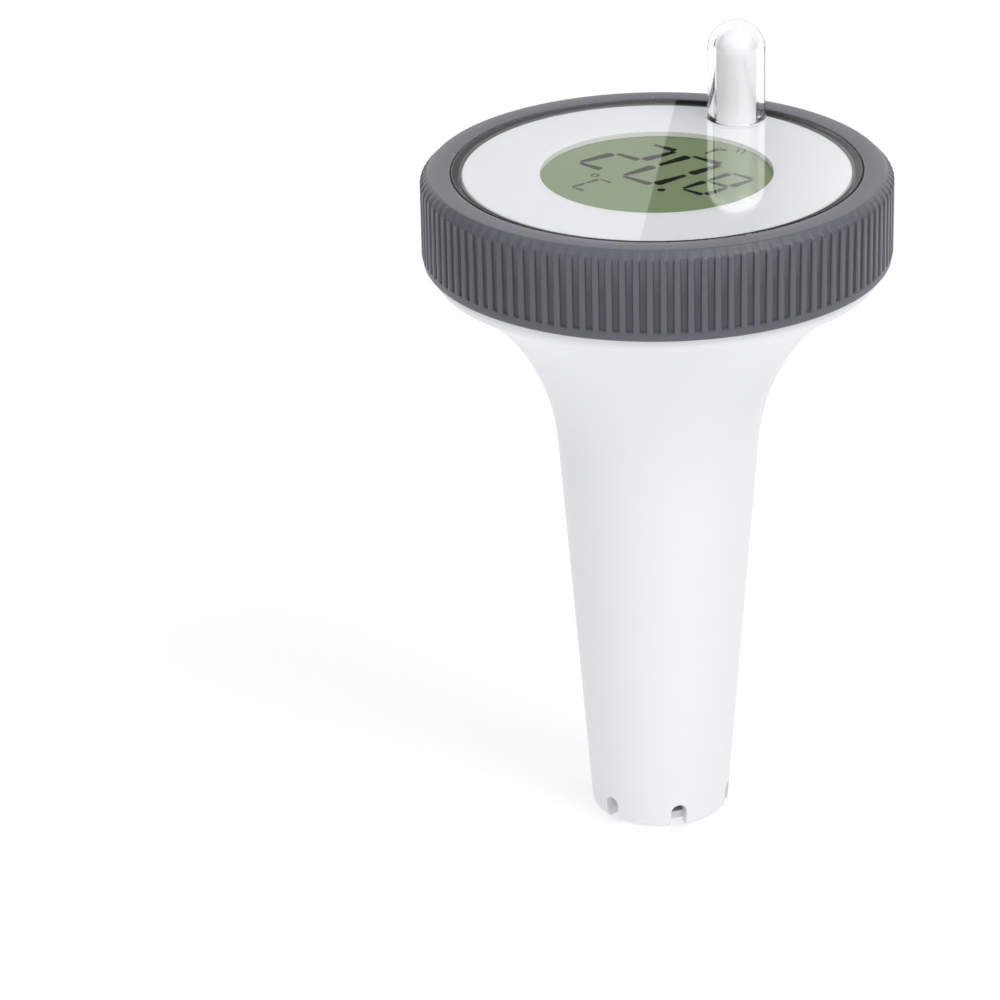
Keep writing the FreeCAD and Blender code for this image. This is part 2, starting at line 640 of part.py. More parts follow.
def make_back_shell():
    """Dish behind the board with the battery bay hanging from it."""
    floor_top = SHELL_FLOOR_Z + SHELL_FLOOR
    rim_z = PLATE_TOP_Z - PLATE_THICKNESS - 0.1
    dish = turned(
        [
            (0, SHELL_FLOOR_Z),
            (SHELL_RADIUS - 1.0, SHELL_FLOOR_Z),
            (SHELL_RADIUS, SHELL_FLOOR_Z + 1.0),
            (SHELL_RADIUS, NECK_TOP_Z - 0.1),
            (SHELL_RADIUS - 0.5, NECK_TOP_Z - 0.1),
            (SHELL_RADIUS - 0.5, rim_z),
            (SHELL_RADIUS - SHELL_WALL, rim_z),
            (SHELL_RADIUS - SHELL_WALL, floor_top),
            (0, floor_top),
        ]
    )
    box_foot_z = BAY_FOOT_Z - 1.7
    box = block(-BOX_HALF_WIDTH, BOX_HALF_WIDTH, BOX_FRONT_Y, BOX_BACK_Y, box_foot_z, SHELL_FLOOR_Z + 0.5)
    shell = dish.fuse(round_upright_edges(box, BOX_CORNER))
    bay = block(-BAY_HALF_WIDTH + 0.2, BAY_HALF_WIDTH - 0.2, BAY_FRONT_Y - 3, BAY_BACK_Y, BAY_FOOT_Z, SHELL_FLOOR_Z)
    door_front = BAY_FRONT_Y - DOOR_THICKNESS - 2 * GAP
    door_run = block(-BAY_HALF_WIDTH, BAY_HALF_WIDTH, door_front, BAY_FRONT_Y, BAY_FOOT_Z - 3, SHELL_FLOOR_Z)
    mouth = block(-13.6, 13.6, BOX_FRONT_Y - 1, BAY_FRONT_Y, BAY_FOOT_Z - 3, SHELL_FLOOR_Z)
    shell = shell.cut(bay).cut(door_run).cut(mouth)
    for angle in BOARD_SCREW_ANGLES:
        at = on_circle(BOARD_SCREW_CIRCLE, angle)
        shell = shell.fuse(cylinder(2.6, floor_top - 0.5, BOARD_Z, at)).cut(
            cylinder(PILOT_RADIUS, floor_top + 0.5, BOARD_Z + 1, at)
        )
    for angle in SCREW_ANGLES:
        at = on_circle(SCREW_CIRCLE, angle)
        shell = shell.fuse(cylinder(2.9, floor_top - 0.5, floor_top + 1.5, at))
        shell = shell.cut(cylinder(1.3, SHELL_FLOOR_Z - 1, floor_top + 3, at))
        shell = shell.cut(cylinder(2.3, SHELL_FLOOR_Z - 1, SHELL_FLOOR_Z + 1.2, at))
    shell = shell.cut(cylinder(BUTTON_RADIUS + RUNNING_GAP, SHELL_FLOOR_Z - 1, floor_top + 1, BUTTON_AT))
    half_knob = KNOB_SIDE / 2 + RUNNING_GAP
    shell = shell.cut(
        block(
            SWITCH_AT.x - half_knob,
            SWITCH_AT.x + half_knob,
            SWITCH_AT.y - half_knob,
            SWITCH_AT.y + SWITCH_TRAVEL + half_knob,
            SHELL_FLOOR_Z - 1,
            floor_top + 1,
        )
    )
    shell = shell.cut(cylinder(LEAD_RADIUS + 0.5, SHELL_FLOOR_Z - 1, floor_top + 1, LEAD_EXIT))
    for x, y in tab_places():
        shell = shell.cut(block(x - 1.7, x + 1.7, y - 0.4, y + 0.4, SHELL_FLOOR_Z - 1, floor_top + 1))
    return shell


def make_shell_screws():
    """Four screws that close the back shell onto the face plate."""
    return Part.makeCompound(
        [
            pan_head_screw(on_circle(SCREW_CIRCLE, a), SHELL_FLOOR_Z + 1.2, 1, 1.05, 10.0, 2.1, 1.1)
            for a in SCREW_ANGLES
        ]
    )


# ================================================================ batteries and contacts
def cell(x, nub_up, z_low):
    """AA cell with its positive nub up or down."""
    at = V(x, CELL_Y, 0)
    can_low = z_low if nub_up else z_low + CELL_NUB
    can = cylinder(CELL_RADIUS, can_low, can_low + CELL_LENGTH - CELL_NUB, at)
    can = can.makeFillet(0.6, [e for e in can.Edges if isinstance(e.Curve, Part.Circle)])
    nub_low = z_low + CELL_LENGTH - CELL_NUB - 0.5 if nub_up else z_low
    return can.fuse(cylinder(CELL_NUB_RADIUS, nub_low, nub_low + CELL_NUB + 0.5, at))


def make_cell_left():
    return cell(-CELL_X, True, BAY_FOOT_Z + CONTACT + SPRING_LENGTH)


def make_cell_right():
    return cell(CELL_X, False, BAY_FOOT_Z + CONTACT)


def contact_spring(x, z_low, narrow_end_up):
    """Conical spring, wide on its plate and narrow on the cell."""
    wire, turns, wide_radius, cone = 0.35, 3, 4.6, 25.0
    height = SPRING_LENGTH - 2 * wire
    helix = Part.makeHelix(height / turns, height, wide_radius, -cone)
    section = Part.Wire(Part.makeCircle(wire, V(wide_radius, 0, 0), V(0, 1, 0)))
    spring = Part.Wire(helix.Edges).makePipeShell([section], True, True)
    if not narrow_end_up:
        spring.rotate(V(0, 0, height / 2), V(0, 1, 0), 180.0)
    spring.translate(V(x, CELL_Y, z_low + wire))
    return spring


def make_bridge_contact():
    """Plate across the foot of both cells."""
    return round_upright_edges(block(-14.0, 14.0, -5.5, 6.5, BAY_FOOT_Z, BAY_FOOT_Z + CONTACT), 2.0)


def make_bridge_spring():
    return contact_spring(-CELL_X, BAY_FOOT_Z + CONTACT, True)


def top_contact(x, tab):
    z_low = SHELL_FLOOR_Z - CONTACT
    plate = block(x - 5.5, x + 5.5, -5.0, tab[1] + CONTACT / 2, z_low, SHELL_FLOOR_Z)
    tail = block(tab[0] - 1.4, tab[0] + 1.4, tab[1] - CONTACT / 2, tab[1] + CONTACT / 2, z_low, BOARD_Z + 2.2)
    return plate.fuse(tail)


def make_positive_contact():
    return top_contact(-CELL_X, tab_places()[0])


def make_negative_contact():
    return top_contact(CELL_X, tab_places()[1])


def make_negative_spring():
    return contact_spring(CELL_X, BAY_FOOT_Z + CONTACT + CELL_LENGTH, False)


def make_battery_door():
    """Door that slides down off the battery bay, with grip bars and a finger recess."""
    half_width = BAY_HALF_WIDTH - 2 * GAP
    back_y = BAY_FRONT_Y - GAP
    front_y = back_y - DOOR_THICKNESS
    top_z = SHELL_FLOOR_Z - 0.4
    foot_z = BAY_FOOT_Z - 1.6
    door = block(-half_width, half_width, front_y, back_y, foot_z, top_z)
    raised = block(-13.2, 13.2, BOX_FRONT_Y + 0.1, front_y + 0.2, foot_z, top_z)
    door = door.fuse(raised)
    for k in range(6):
        z = foot_z + 6 + k * 2.0
        door = door.cut(block(-9, 9, BOX_FRONT_Y - 1, BOX_FRONT_Y + 0.6, z, z + 0.9))
    return door.removeSplitter()


# ================================================================ controls
def make_units_switch():
    """Tactile switch body on the board's under side, with a well for its plunger."""
    x, y = BUTTON_AT.x, BUTTON_AT.y
    body = block(x - 3, x + 3, y - 3, y + 3, BOARD_Z - 3.4, BOARD_Z)
    return body.cut(cylinder(2.0, BOARD_Z - 4, BOARD_Z - 2.0, BUTTON_AT))


def make_units_button():
    """Units button: a flanged cap with the switch's plunger pressed in its top."""
    flange_z = SHELL_FLOOR_Z + SHELL_FLOOR + RUNNING_GAP
    cap = cylinder(BUTTON_RADIUS, SHELL_FLOOR_Z - 1.0, flange_z + 0.5, BUTTON_AT)
    cap = cap.makeFillet(0.4, circular_edges(cap, BUTTON_RADIUS, SHELL_FLOOR_Z - 1.0))
    flange = cylinder(4.1, flange_z, flange_z + 0.9, BUTTON_AT)
    return cap.fuse([flange])


def make_switch_plunger():
    low = SHELL_FLOOR_Z + SHELL_FLOOR + RUNNING_GAP + 0.9
    return cylinder(1.7, low, BOARD_Z - 2.7, BUTTON_AT)


def make_channel_switch():
    """Three-place slide switch body on the board's under side."""
    x, y = SWITCH_AT.x, SWITCH_AT.y + SWITCH_TRAVEL / 2
    body = block(x - 2.9, x + 2.9, y - 5.6, y + 5.6, BOARD_Z - 3.8, BOARD_Z)
    half_run = SWITCH_TRAVEL / 2 + KNOB_SIDE / 2 + RUNNING_GAP
    return body.cut(block(x - 1.7, x + 1.7, y - half_run, y + half_run, BOARD_Z - 5, BOARD_Z - 1.4))


def make_channel_knob():
    x, y = SWITCH_AT.x, SWITCH_AT.y
    half = KNOB_SIDE / 2
    return block(x - half, x + half, y - half, y + half, SHELL_FLOOR_Z - 0.8, BOARD_Z - 1.8)


# ================================================================ ballast, probe and lead
def make_ballast():
    top_z = BALLAST_SEAT_Z + BALLAST_HEIGHT
    weight = tube(BALLAST_RADIUS, BALLAST_BORE, BALLAST_SEAT_Z, top_z)
    rims = circular_edges(weight, BALLAST_RADIUS, top_z) + circular_edges(weight, BALLAST_RADIUS, BALLAST_SEAT_Z)
    weight = weight.makeChamfer(0.8, rims)
    for side in (-1, 1):
        weight = weight.cut(cylinder(1.7, BALLAST_SEAT_Z - 1, top_z + 1, V(side * BALLAST_SCREW_X, 0, 0)))
    return weight


def make_ballast_screws():
    top_z = BALLAST_SEAT_Z + BALLAST_HEIGHT
    return Part.makeCompound(
        [
            pan_head_screw(V(side * BALLAST_SCREW_X, 0, 0), top_z, -1, 1.35, BALLAST_HEIGHT + 5.0, 2.9, 2.0)
            for side in (-1, 1)
        ]
    )


def make_probe_tube():
    """Closed steel tube with a flange below the bulkhead and a threaded shank above it."""
    flange_top = BULKHEAD_Z - 0.9
    shank_top = BULKHEAD_Z + BULKHEAD + 5.0
    probe = turned(
        [
            (0, PROBE_TIP_Z),
            (PROBE_RADIUS - 0.8, PROBE_TIP_Z),
            (PROBE_RADIUS, PROBE_TIP_Z + 0.8),
            (PROBE_RADIUS, flange_top - 1.4),
            (6.0, flange_top - 1.4),
            (6.0, flange_top),
            (PROBE_HOLE_RADIUS - GAP, flange_top),
            (PROBE_HOLE_RADIUS - GAP, shank_top - 0.4),
            (PROBE_HOLE_RADIUS - GAP - 0.4, shank_top),
            (0, shank_top),
        ]
    )
    return probe.cut(cylinder(PROBE_BORE, PROBE_TIP_Z + 0.6, shank_top + 1))


def make_probe_seal():
    """Rubber ring squeezed between the probe's flange and the bulkhead."""
    seal = tube(5.8, PROBE_HOLE_RADIUS + GAP, BULKHEAD_Z - 0.9, BULKHEAD_Z)
    return seal.makeFillet(0.3, circular_edges(seal, 5.8, BULKHEAD_Z) + circular_edges(seal, 5.8, BULKHEAD_Z - 0.9))


def make_probe_nut():
    """Hexagon nut that pulls the probe up against the bulkhead."""
    z_low = BULKHEAD_Z + BULKHEAD
    across_corners = 6.2
    corners = [on_circle(across_corners, 30 + 60 * k) + V(0, 0, z_low) for k in range(6)]
    prism = Part.Face(Part.makePolygon(corners + corners[:1])).extrude(V(0, 0, 3.2))
    return prism.cut(cylinder(PROBE_HOLE_RADIUS, z_low - 1, z_low + 5))


def make_probe_sensor():
    """Thermistor bead at the bottom of the probe tube."""
    bead = Part.makeSphere(1.7, V(0, 0, PROBE_TIP_Z + 2.6))
    return bead.common(cylinder(1.6, PROBE_TIP_Z + 0.8, PROBE_TIP_Z + 4.0))


def make_probe_lead():
    """Two-core lead from the bead, up past the battery bay, to the board's socket."""
    plug_z = SHELL_FLOOR_Z + SHELL_FLOOR + 0.4
    route = [
        V(0, 0, PROBE_TIP_Z + 4.0),
        V(0, 0, 54),
        V(3.0, 12.6, 80),
        V(5.0, 13.6, 112),
        V(LEAD_EXIT.x, LEAD_EXIT.y, 127),
        V(LEAD_EXIT.x, LEAD_EXIT.y, plug_z),
    ]
    path = tangent_route(route)
    section = Part.Wire(Part.makeCircle(LEAD_RADIUS, route[0], UP))
    lead = path.makePipeShell([section], True, False)
    expected = math.pi * LEAD_RADIUS**2 * path.Length
    print(f"lead length {path.Length:.1f} mm, volume {lead.Volume:.0f} of {expected:.0f} mm3")
    return lead


def make_lead_plug():
    z_low = SHELL_FLOOR_Z + SHELL_FLOOR + 0.4
    x, y = LEAD_EXIT.x, LEAD_EXIT.y
    return block(x - 2.6, x + 2.6, y - 1.9, y + 1.9, z_low, BOARD_Z - 0.9)


def make_lead_socket():
    """Shrouded header on the board's under side that takes the lead's plug."""
    x, y = LEAD_EXIT.x, LEAD_EXIT.y
    shroud = block(x - 3.6, x + 3.6, y - 2.8, y + 2.8, BOARD_Z - 3.6, BOARD_Z)
    return shroud.cut(block(x - 2.7, x + 2.7, y - 2.0, y + 2.0, BOARD_Z - 5, BOARD_Z - 0.8))


# ================================================================ output
PIECES = {
    "float_shell": make_float_shell,
    "probe_guard": make_probe_guard,
    "lock_ring": make_lock_ring,
    "cover_gasket": make_cover_gasket,
    "clear_cover": make_clear_cover,
    "face_plate": make_face_plate,
    "antenna_sleeve": make_antenna_sleeve,
    "antenna_coil": make_antenna_coil,
    "lcd_front_polariser": make_lcd_front_polariser,
    "lcd_front_glass": make_lcd_front_glass,
    "lcd_rear_glass": make_lcd_rear_glass,
    "lcd_reflector": make_lcd_reflector,
    "lcd_contact_strips": make_contact_strips,
    "lcd_frame": make_lcd_frame,
    "main_board": make_main_board,
    "board_screws": make_board_screws,
    "controller_chip": make_controller_chip,
    "radio_board": make_radio_board,
    "radio_crystal": make_radio_crystal,
    "back_shell": make_back_shell,
    "shell_screws": make_shell_screws,
    "cell_left": make_cell_left,
    "cell_right": make_cell_right,
    "bridge_contact": make_bridge_contact,
    "bridge_spring": make_bridge_spring,
    "positive_contact": make_positive_contact,
    "negative_contact": make_negative_contact,
    "negative_spring": make_negative_spring,
    "battery_door": make_battery_door,
    "units_switch": make_units_switch,
    "units_button": make_units_button,
    "switch_plunger": make_switch_plunger,
    "channel_switch": make_channel_switch,
    "channel_knob": make_channel_knob,
    "ballast": make_ballast,
    "ballast_screws": make_ballast_screws,
    "probe_tube": make_probe_tube,
    "probe_seal": make_probe_seal,
    "probe_nut": make_probe_nut,
    "probe_sensor": make_probe_sensor,
    "probe_lead": make_probe_lead,
    "lead_plug": make_lead_plug,
    "lead_socket": make_lead_socket,
}


def main():
    os.makedirs("parts", exist_ok=True)
    for name, make in PIECES.items():
        shape = make()
        solids = shape.Solids
        if not solids or not all(s.isValid() and s.Volume > 0 for s in solids):
            raise RuntimeError(f"{name} is not a set of valid solids")
        whole = solids[0] if len(solids) == 1 else Part.makeCompound(solids)
        whole.exportStep(f"parts/{name}.step")
        print(f"{name}: {len(solids)} solid(s), {whole.Volume / 1000:.2f} cm3")


main()
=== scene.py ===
"""Floating pool thermometer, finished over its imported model.

The file is laid out as an add-on and is run as a script. Lengths are in metres, in the model's own
frame: +Z runs up the stem, the origin is the centre of the foot, and -Y is the front.
"""

import math

import bmesh
import bpy
from bpy.props import FloatProperty, FloatVectorProperty, IntProperty, PointerProperty
from mathutils import Matrix, Vector


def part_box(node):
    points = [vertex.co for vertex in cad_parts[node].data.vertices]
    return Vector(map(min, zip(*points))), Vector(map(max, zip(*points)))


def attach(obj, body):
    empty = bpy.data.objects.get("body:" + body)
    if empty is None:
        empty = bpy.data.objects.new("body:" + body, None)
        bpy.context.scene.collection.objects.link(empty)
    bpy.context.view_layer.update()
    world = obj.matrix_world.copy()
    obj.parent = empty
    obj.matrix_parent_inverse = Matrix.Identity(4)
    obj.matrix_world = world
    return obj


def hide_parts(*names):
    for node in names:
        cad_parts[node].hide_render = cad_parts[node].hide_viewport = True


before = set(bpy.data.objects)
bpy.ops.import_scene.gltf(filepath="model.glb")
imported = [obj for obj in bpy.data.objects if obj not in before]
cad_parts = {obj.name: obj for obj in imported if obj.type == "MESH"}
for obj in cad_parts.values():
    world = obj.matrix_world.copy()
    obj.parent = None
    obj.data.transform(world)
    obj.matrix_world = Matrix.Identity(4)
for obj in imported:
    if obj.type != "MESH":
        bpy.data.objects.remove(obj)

bl_info = {
    "name": "Floating pool thermometer",
    "version": (1, 0, 0),
    "blender": (4, 5, 0),
    "location": "View3D > Sidebar > Pool thermometer",
    "description": "Makes the visible pieces, finishes and studio of a floating pool thermometer",
    "category": "Object",
}

MM = 0.001
TURN = 2 * math.pi
UP = (0, 0, 1)
ORIGIN = (0, 0, 0)

RING_LOW, RING_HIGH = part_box("lock_ring")
FILM_LOW, FILM_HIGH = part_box("lcd_front_polariser")
COVER_SEAT_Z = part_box("clear_cover")[0].z  # under side of the cover's flange
SHARP = math.radians(32)  # edges that turn more than this are shaded sharp
MERGE = 0.01 * MM  # verts nearer than this are one


# ---------------------------------------------------------------- sizes and colours
def length(name, description, default):
    return FloatProperty(name=name, description=description, default=default, unit="LENGTH", precision=5)


def colour(name, description, default):
    return FloatVectorProperty(
        name=name, description=description, default=default, subtype="COLOR", size=3, min=0.0, max=1.0
    )


def amount(name, description, default):
    return FloatProperty(name=name, description=description, default=default, min=0.0)


def angle(name, description, default):
    return FloatProperty(name=name, description=description, default=math.radians(default), subtype="ANGLE")


class RingSizes(bpy.types.PropertyGroup):
    """Sizes of the lock ring with its grip ribs."""

    ribs: IntProperty(name="Ribs", description="Grip ribs round the ring", default=112, min=12)
    rib_depth: length("Rib depth", "How far the grooves are sunk between the ribs", 0.6 * MM)
    crest_share: amount("Crest share", "Part of one pitch that is the rib's flat crest", 0.40)
    lip_inner: length("Lip inside radius", "Radius of the hole in the lip", 45.8 * MM)
    lip_outer: length("Lip outside radius", "Where the lip turns down into the shoulder", 50.45 * MM)
    lip_thickness: length("Lip thickness", "Thickness of the lip over the cover's flange", 2.5 * MM)
    lip_edge: length("Lip edge", "Round on the lip's inner edge and on the bore's foot", 0.35 * MM)
    shoulder: length("Shoulder height", "Height of the sloping shoulder", 2.0 * MM)
    shoulder_round: length("Shoulder round", "Radius from the shoulder to the ribs", 1.2 * MM)
    outer_round: length("Outer round", "Radius at the lip's outer edge and at the foot", 0.6 * MM)
    groove_end: length("Groove end", "Smooth band under the grooves", 2.1 * MM)
    draft: length("Draft", "How much narrower the ring is at its foot", 0.3 * MM)
    bore: length("Bore radius", "Plain inside radius", 48.4 * MM)
    pocket: length("Pocket radius", "Inside radius round the cover's flange", 48.7 * MM)
    bead: length("Bead radius", "Inside radius of the bead that carries the cover", 48.05 * MM)
    thread_start: length("Thread start", "Middle of a thread ridge's lower end, above the foot", 1.3 * MM)
    thread_lead: length("Thread lead", "Rise of the thread in one turn", 6.0 * MM)
    thread_depth: length("Thread depth", "How far a thread ridge stands out of the bore", 1.5 * MM)
    thread_turns: amount("Thread turns", "Length of each thread ridge in turns", 1.25)


class DisplaySizes(bpy.types.PropertyGroup):
    """Sizes and placing of what the display shows."""

    reading_angle: angle("Reading angle", "Direction that the digits are read in, about Z", -40.0)
    digit_height: length("Digit height", "Height of the two large digits", 21.2 * MM)
    bar: length("Bar width", "Width of a large digit's upright bars", 2.2 * MM)
    small_height: length("Small digit height", "Height of the tenths digit", 15.8 * MM)
    small_bar: length("Small bar width", "Width of the tenths digit's upright bars", 1.7 * MM)
    level_share: amount("Level bars", "Width of a level bar over that of an upright one", 0.76)
    unit_height: length("Unit height", "Height of the C of the unit", 8.2 * MM)
    unit_bar: length("Unit bar width", "Width of the upright bars of the C", 0.85 * MM)
    thickness: length("Bar thickness", "Thickness of the drawn bars", 0.03 * MM)
    film_corner: length("Film corner", "How much the film's corners are cut off", 6.0 * MM)


class FinishColours(bpy.types.PropertyGroup):
    """Colours of the visible finishes."""

    float_white: colour("Float", "Moulded white of the float", (0.805, 0.810, 0.840))
    plate_white: colour("Face plate", "White of the face plate", (0.95, 0.95, 0.965))
    sleeve_white: colour("Sleeve", "White of the antenna sleeve", (0.93, 0.93, 0.945))
    ring_grey: colour("Ring", "Dark grey of the lock ring", (0.099, 0.101, 0.123))
    display_green: colour("Display", "Grey-green of the display", (0.222, 0.295, 0.146))
    segment_black: colour("Segments", "Dark of the display's bars", (0.006, 0.006, 0.007))
    floor_white: colour("Floor", "Pale floor", (0.45, 0.45, 0.455))


class StudioSettings(bpy.types.PropertyGroup):
    """Camera, lights and floor."""

    lens: FloatProperty(name="Lens", description="Focal length in millimetres", default=168.9, min=20.0)
    roll: angle("Roll", "Tilt of the camera about its own axis", -1.24)
    floor_size: length("Floor size", "Side of the square floor", 9.0)
    sky: amount("Sky", "Brightness of the surrounding white", 1.0)
    floor_glow: amount("Floor glow", "Light that the floor gives off itself", 0.57)
    card_glow: amount("Card glow", "Brightness of the pale card that the cover mirrors", 0.27)
    key_power: amount("Key light", "Power of the large light over the right shoulder", 8.0)
    fill_power: amount("Fill light", "Power of the light at the left", 2.0)


CAMERA_PLACE = Vector((0.00265, -0.97700, 0.51568))
CAMERA_TARGET = Vector((-0.03624, 0.0, 0.07656))
LIGHT_TARGET = Vector((0.0, 0.0, 0.1))
GROUPS = {
    "pool_ring": RingSizes,
    "pool_display": DisplaySizes,
    "pool_colours": FinishColours,
    "pool_studio": StudioSettings,
}


LET_THROUGH = (0.98, 0.985, 0.985)  # share of the soft light that a clear wall lets through


# ---------------------------------------------------------------- shader expressions
class Level:
    """A shader socket carrying one number, for use in sums."""

    def __init__(self, tree, socket):
        self.tree = tree
        self.socket = socket

    def _math(self, operation, first, second, clamp=False):
        node = self.tree.nodes.new("ShaderNodeMath")
        node.operation = operation
        node.use_clamp = clamp
        for place, value in zip(node.inputs, (first, second)):
            if isinstance(value, Level):
                self.tree.links.new(value.socket, place)
            else:
                place.default_value = value
        return Level(self.tree, node.outputs[0])

    def __add__(self, other):
        return self._math("ADD", self, other)

    __radd__ = __add__

    def __sub__(self, other):
        return self._math("SUBTRACT", self, other)

    def __rsub__(self, other):
        return self._math("SUBTRACT", other, self)

    def __mul__(self, other):
        return self._math("MULTIPLY", self, other)

    __rmul__ = __mul__

    def __pow__(self, other):
        return self._math("POWER", self, other)

    def above(self, edge, width):
        """0 below edge, 1 past edge plus width, straight between."""
        return self._math("MULTIPLY", self - edge, 1 / width, clamp=True)

    def wave(self, period):
        """A sine between 0 and 1 that repeats every period."""
        return self._math("SINE", self * (TURN / period), 0.0) * 0.5 + 0.5


class Finish:
    """One material with a Principled shader, built by small steps."""

    def __init__(self, name, colour, roughness, metallic=0.0, coat=0.0, ior=1.5):
        self.material = bpy.data.materials.new(name)
        self.material.use_nodes = True
        self.tree = self.material.node_tree
        self.tree.nodes.clear()
        self.shader = self.tree.nodes.new("ShaderNodeBsdfPrincipled")
        self.output = self.tree.nodes.new("ShaderNodeOutputMaterial")
        self.tree.links.new(self.shader.outputs[0], self.output.inputs["Surface"])
        self.place = self.node("ShaderNodeTexCoord").outputs["Object"]
        self.set("Base Color", (*colour, 1.0))
        self.set("Roughness", roughness)
        self.set("Metallic", metallic)
        self.set("Coat Weight", coat)
        self.set("IOR", ior)

    def node(self, kind, settings=None, sockets=None):
        """Any node: its type, its settings, then the values or links of its sockets."""
        node = self.tree.nodes.new(kind)
        for key, value in (settings or {}).items():
            setattr(node, key, value)
        for key, value in (sockets or {}).items():
            self.feed(self.socket(node, key), value)
        return node

    @staticmethod
    def socket(node, key):
        if isinstance(key, int):
            return node.inputs[key]
        return next(s for s in node.inputs if s.identifier == key or s.name == key)

    def feed(self, socket, value):
        if isinstance(value, Level):
            self.tree.links.new(value.socket, socket)
        elif isinstance(value, bpy.types.NodeSocket):
            self.tree.links.new(value, socket)
        else:
            socket.default_value = value

    def set(self, name, value):
        self.feed(self.shader.inputs[name], value)

    def noise(self, size, detail=2.0, stretch=(1, 1, 1), offset=0.0):
        """Noise whose blotches are about size across, wider where stretch is over 1."""
        scale = [1 / (size * s) for s in stretch]
        move = {"Vector": self.place, "Scale": scale, "Location": (offset, offset, 0)}
        mapped = self.node("ShaderNodeMapping", None, move)
        noise = self.node(
            "ShaderNodeTexNoise", None, {"Vector": mapped.outputs[0], "Scale": 1.0, "Detail": detail}
        )
        return Level(self.tree, noise.outputs[0])

    def cells(self, size):
        """Distance to the nearest of scattered points about size apart."""
        cells = self.node("ShaderNodeTexVoronoi", None, {"Vector": self.place, "Scale": 1 / size})
        return Level(self.tree, cells.outputs["Distance"])

    def axes(self):
        """Object X, Y and Z as levels."""
        split = self.node("ShaderNodeSeparateXYZ", None, {0: self.place})
        return [Level(self.tree, socket) for socket in split.outputs]

    def radius(self):
        """Distance from the stem's axis."""
        x, y, _ = self.axes()
        return (x * x + y * y) ** 0.5

    def blend(self, mask, first, second):
        """Colour between first and second, by mask."""
        first, second = (c if isinstance(c, bpy.types.NodeSocket) else (*c, 1.0) for c in (first, second))
        sockets = {"Factor_Float": mask, "A_Color": first, "B_Color": second}
        mix = self.node("ShaderNodeMix", {"data_type": "RGBA"}, sockets)
        return next(s for s in mix.outputs if s.identifier == "Result_Color")

    def relief(self, height, depth):
        """Bump of the given depth in metres, from a level between 0 and 1."""
        bump = self.node("ShaderNodeBump", None, {"Strength": 1.0, "Distance": depth, "Height": height})
        self.set("Normal", bump.outputs[0])

    def clear_to_lamps(self):
        """Let light from lamps and soft bounces straight through, as a clear moulding does."""
        path = self.node("ShaderNodeLightPath").outputs
        surface = self.shader
        for ray in ("Is Diffuse Ray", "Is Shadow Ray"):
            passing = self.node("ShaderNodeBsdfTransparent", None, {"Color": (*LET_THROUGH, 1.0)})
            mix = self.node("ShaderNodeMixShader", None, {0: path[ray]})
            self.tree.links.new(surface.outputs[0], mix.inputs[1])
            self.tree.links.new(passing.outputs[0], mix.inputs[2])
            surface = mix
        self.tree.links.new(surface.outputs[0], self.output.inputs["Surface"])


def shade(colour, factor):
    """Colour made lighter or darker by a factor."""
    return tuple(min(1.0, c * factor) for c in colour)


# ---------------------------------------------------------------- finishes
def float_white_finish(colours):
    """Semi-gloss injection moulding: faint clouding and a fine eggshell skin."""
    finish = Finish("moulded white", colours.float_white, 0.30)
    cloud = finish.noise(30 * MM, 3.0)
    finish.set("Base Color", finish.blend(cloud, colours.float_white, shade(colours.float_white, 0.975)))
    finish.set("Roughness", 0.27 + 0.10 * finish.noise(9 * MM, 4.0))
    finish.relief(finish.noise(0.9 * MM, 2.0), 0.012 * MM)
    return finish.material


def ring_grey_finish(colours, s):
    """Dark grey moulding with a fine spark-eroded grain, and painted shade darkening the steep walls of its
    grooves.
    """
    finish = Finish("ribbed grey", colours.ring_grey, 0.32)
    _, _, z = finish.axes()
    lower = RING_LOW.z + s.groove_end
    upper = RING_HIGH.z - s.shoulder - 0.6 * MM
    drafted = finish.radius() + (RING_HIGH.z - z) * (s.draft / (RING_HIGH.z - RING_LOW.z))
    in_band = z.above(lower, 0.2 * MM) * (1 - z.above(upper, 0.4 * MM))
    # Painted shade: the wall mask picks out the steep walls of the grooves, between floor and crest, where
    # shade falls.
    near_floor, near_crest = RING_HIGH.x - s.rib_depth + 0.05 * MM, RING_HIGH.x - 0.16 * MM
    wall = drafted.above(near_floor, 0.1 * MM) * (1 - drafted.above(near_crest, 0.1 * MM))
    cloud = finish.noise(14 * MM, 3.0)
    base = finish.blend(cloud, colours.ring_grey, shade(colours.ring_grey, 0.90))
    # Base colour with painted shade on the groove walls, darkened down to 30 % of the grey.
    finish.set("Base Color", finish.blend(in_band * wall * 0.6, base, shade(colours.ring_grey, 0.30)))
    lip = z.above(RING_HIGH.z - 0.5 * MM, 0.3 * MM)
    finish.set("Roughness", 0.36 + 0.08 * finish.noise(3 * MM, 4.0) - 0.14 * lip)
    finish.relief(finish.noise(0.35 * MM, 3.0), 0.012 * MM)
    return finish.material


def clear_finish(name, tint=(0.994, 0.996, 0.998)):
    """Polished clear moulding with the faintest flow marks."""
    finish = Finish(name, tint, 0.0, ior=1.49)
    finish.shader.inputs["Transmission Weight"].default_value = 1.0
    finish.set("Roughness", 0.012 * finish.noise(20 * MM, 2.0))
    finish.clear_to_lamps()
    return finish.material


def plate_white_finish(colours):
    """Fine matt white moulding."""
    finish = Finish("face plate white", colours.plate_white, 0.45)
    cloud = finish.noise(18 * MM, 3.0)
    finish.set("Base Color", finish.blend(cloud, colours.plate_white, shade(colours.plate_white, 0.98)))
    finish.set("Roughness", 0.42 + 0.10 * finish.noise(2 * MM, 3.0))
    finish.relief(finish.noise(0.25 * MM, 2.0), 0.008 * MM)
    return finish.material


def sleeve_white_finish(colours):
    """Fine matt white of the thimble in the clear tube."""
    finish = Finish("sleeve white", colours.sleeve_white, 0.5)
    cloud = finish.noise(6 * MM, 2.0)
    finish.set("Base Color", finish.blend(cloud, colours.sleeve_white, shade(colours.sleeve_white, 0.98)))
    finish.relief(finish.noise(0.3 * MM, 2.0), 0.008 * MM)
    return finish.material


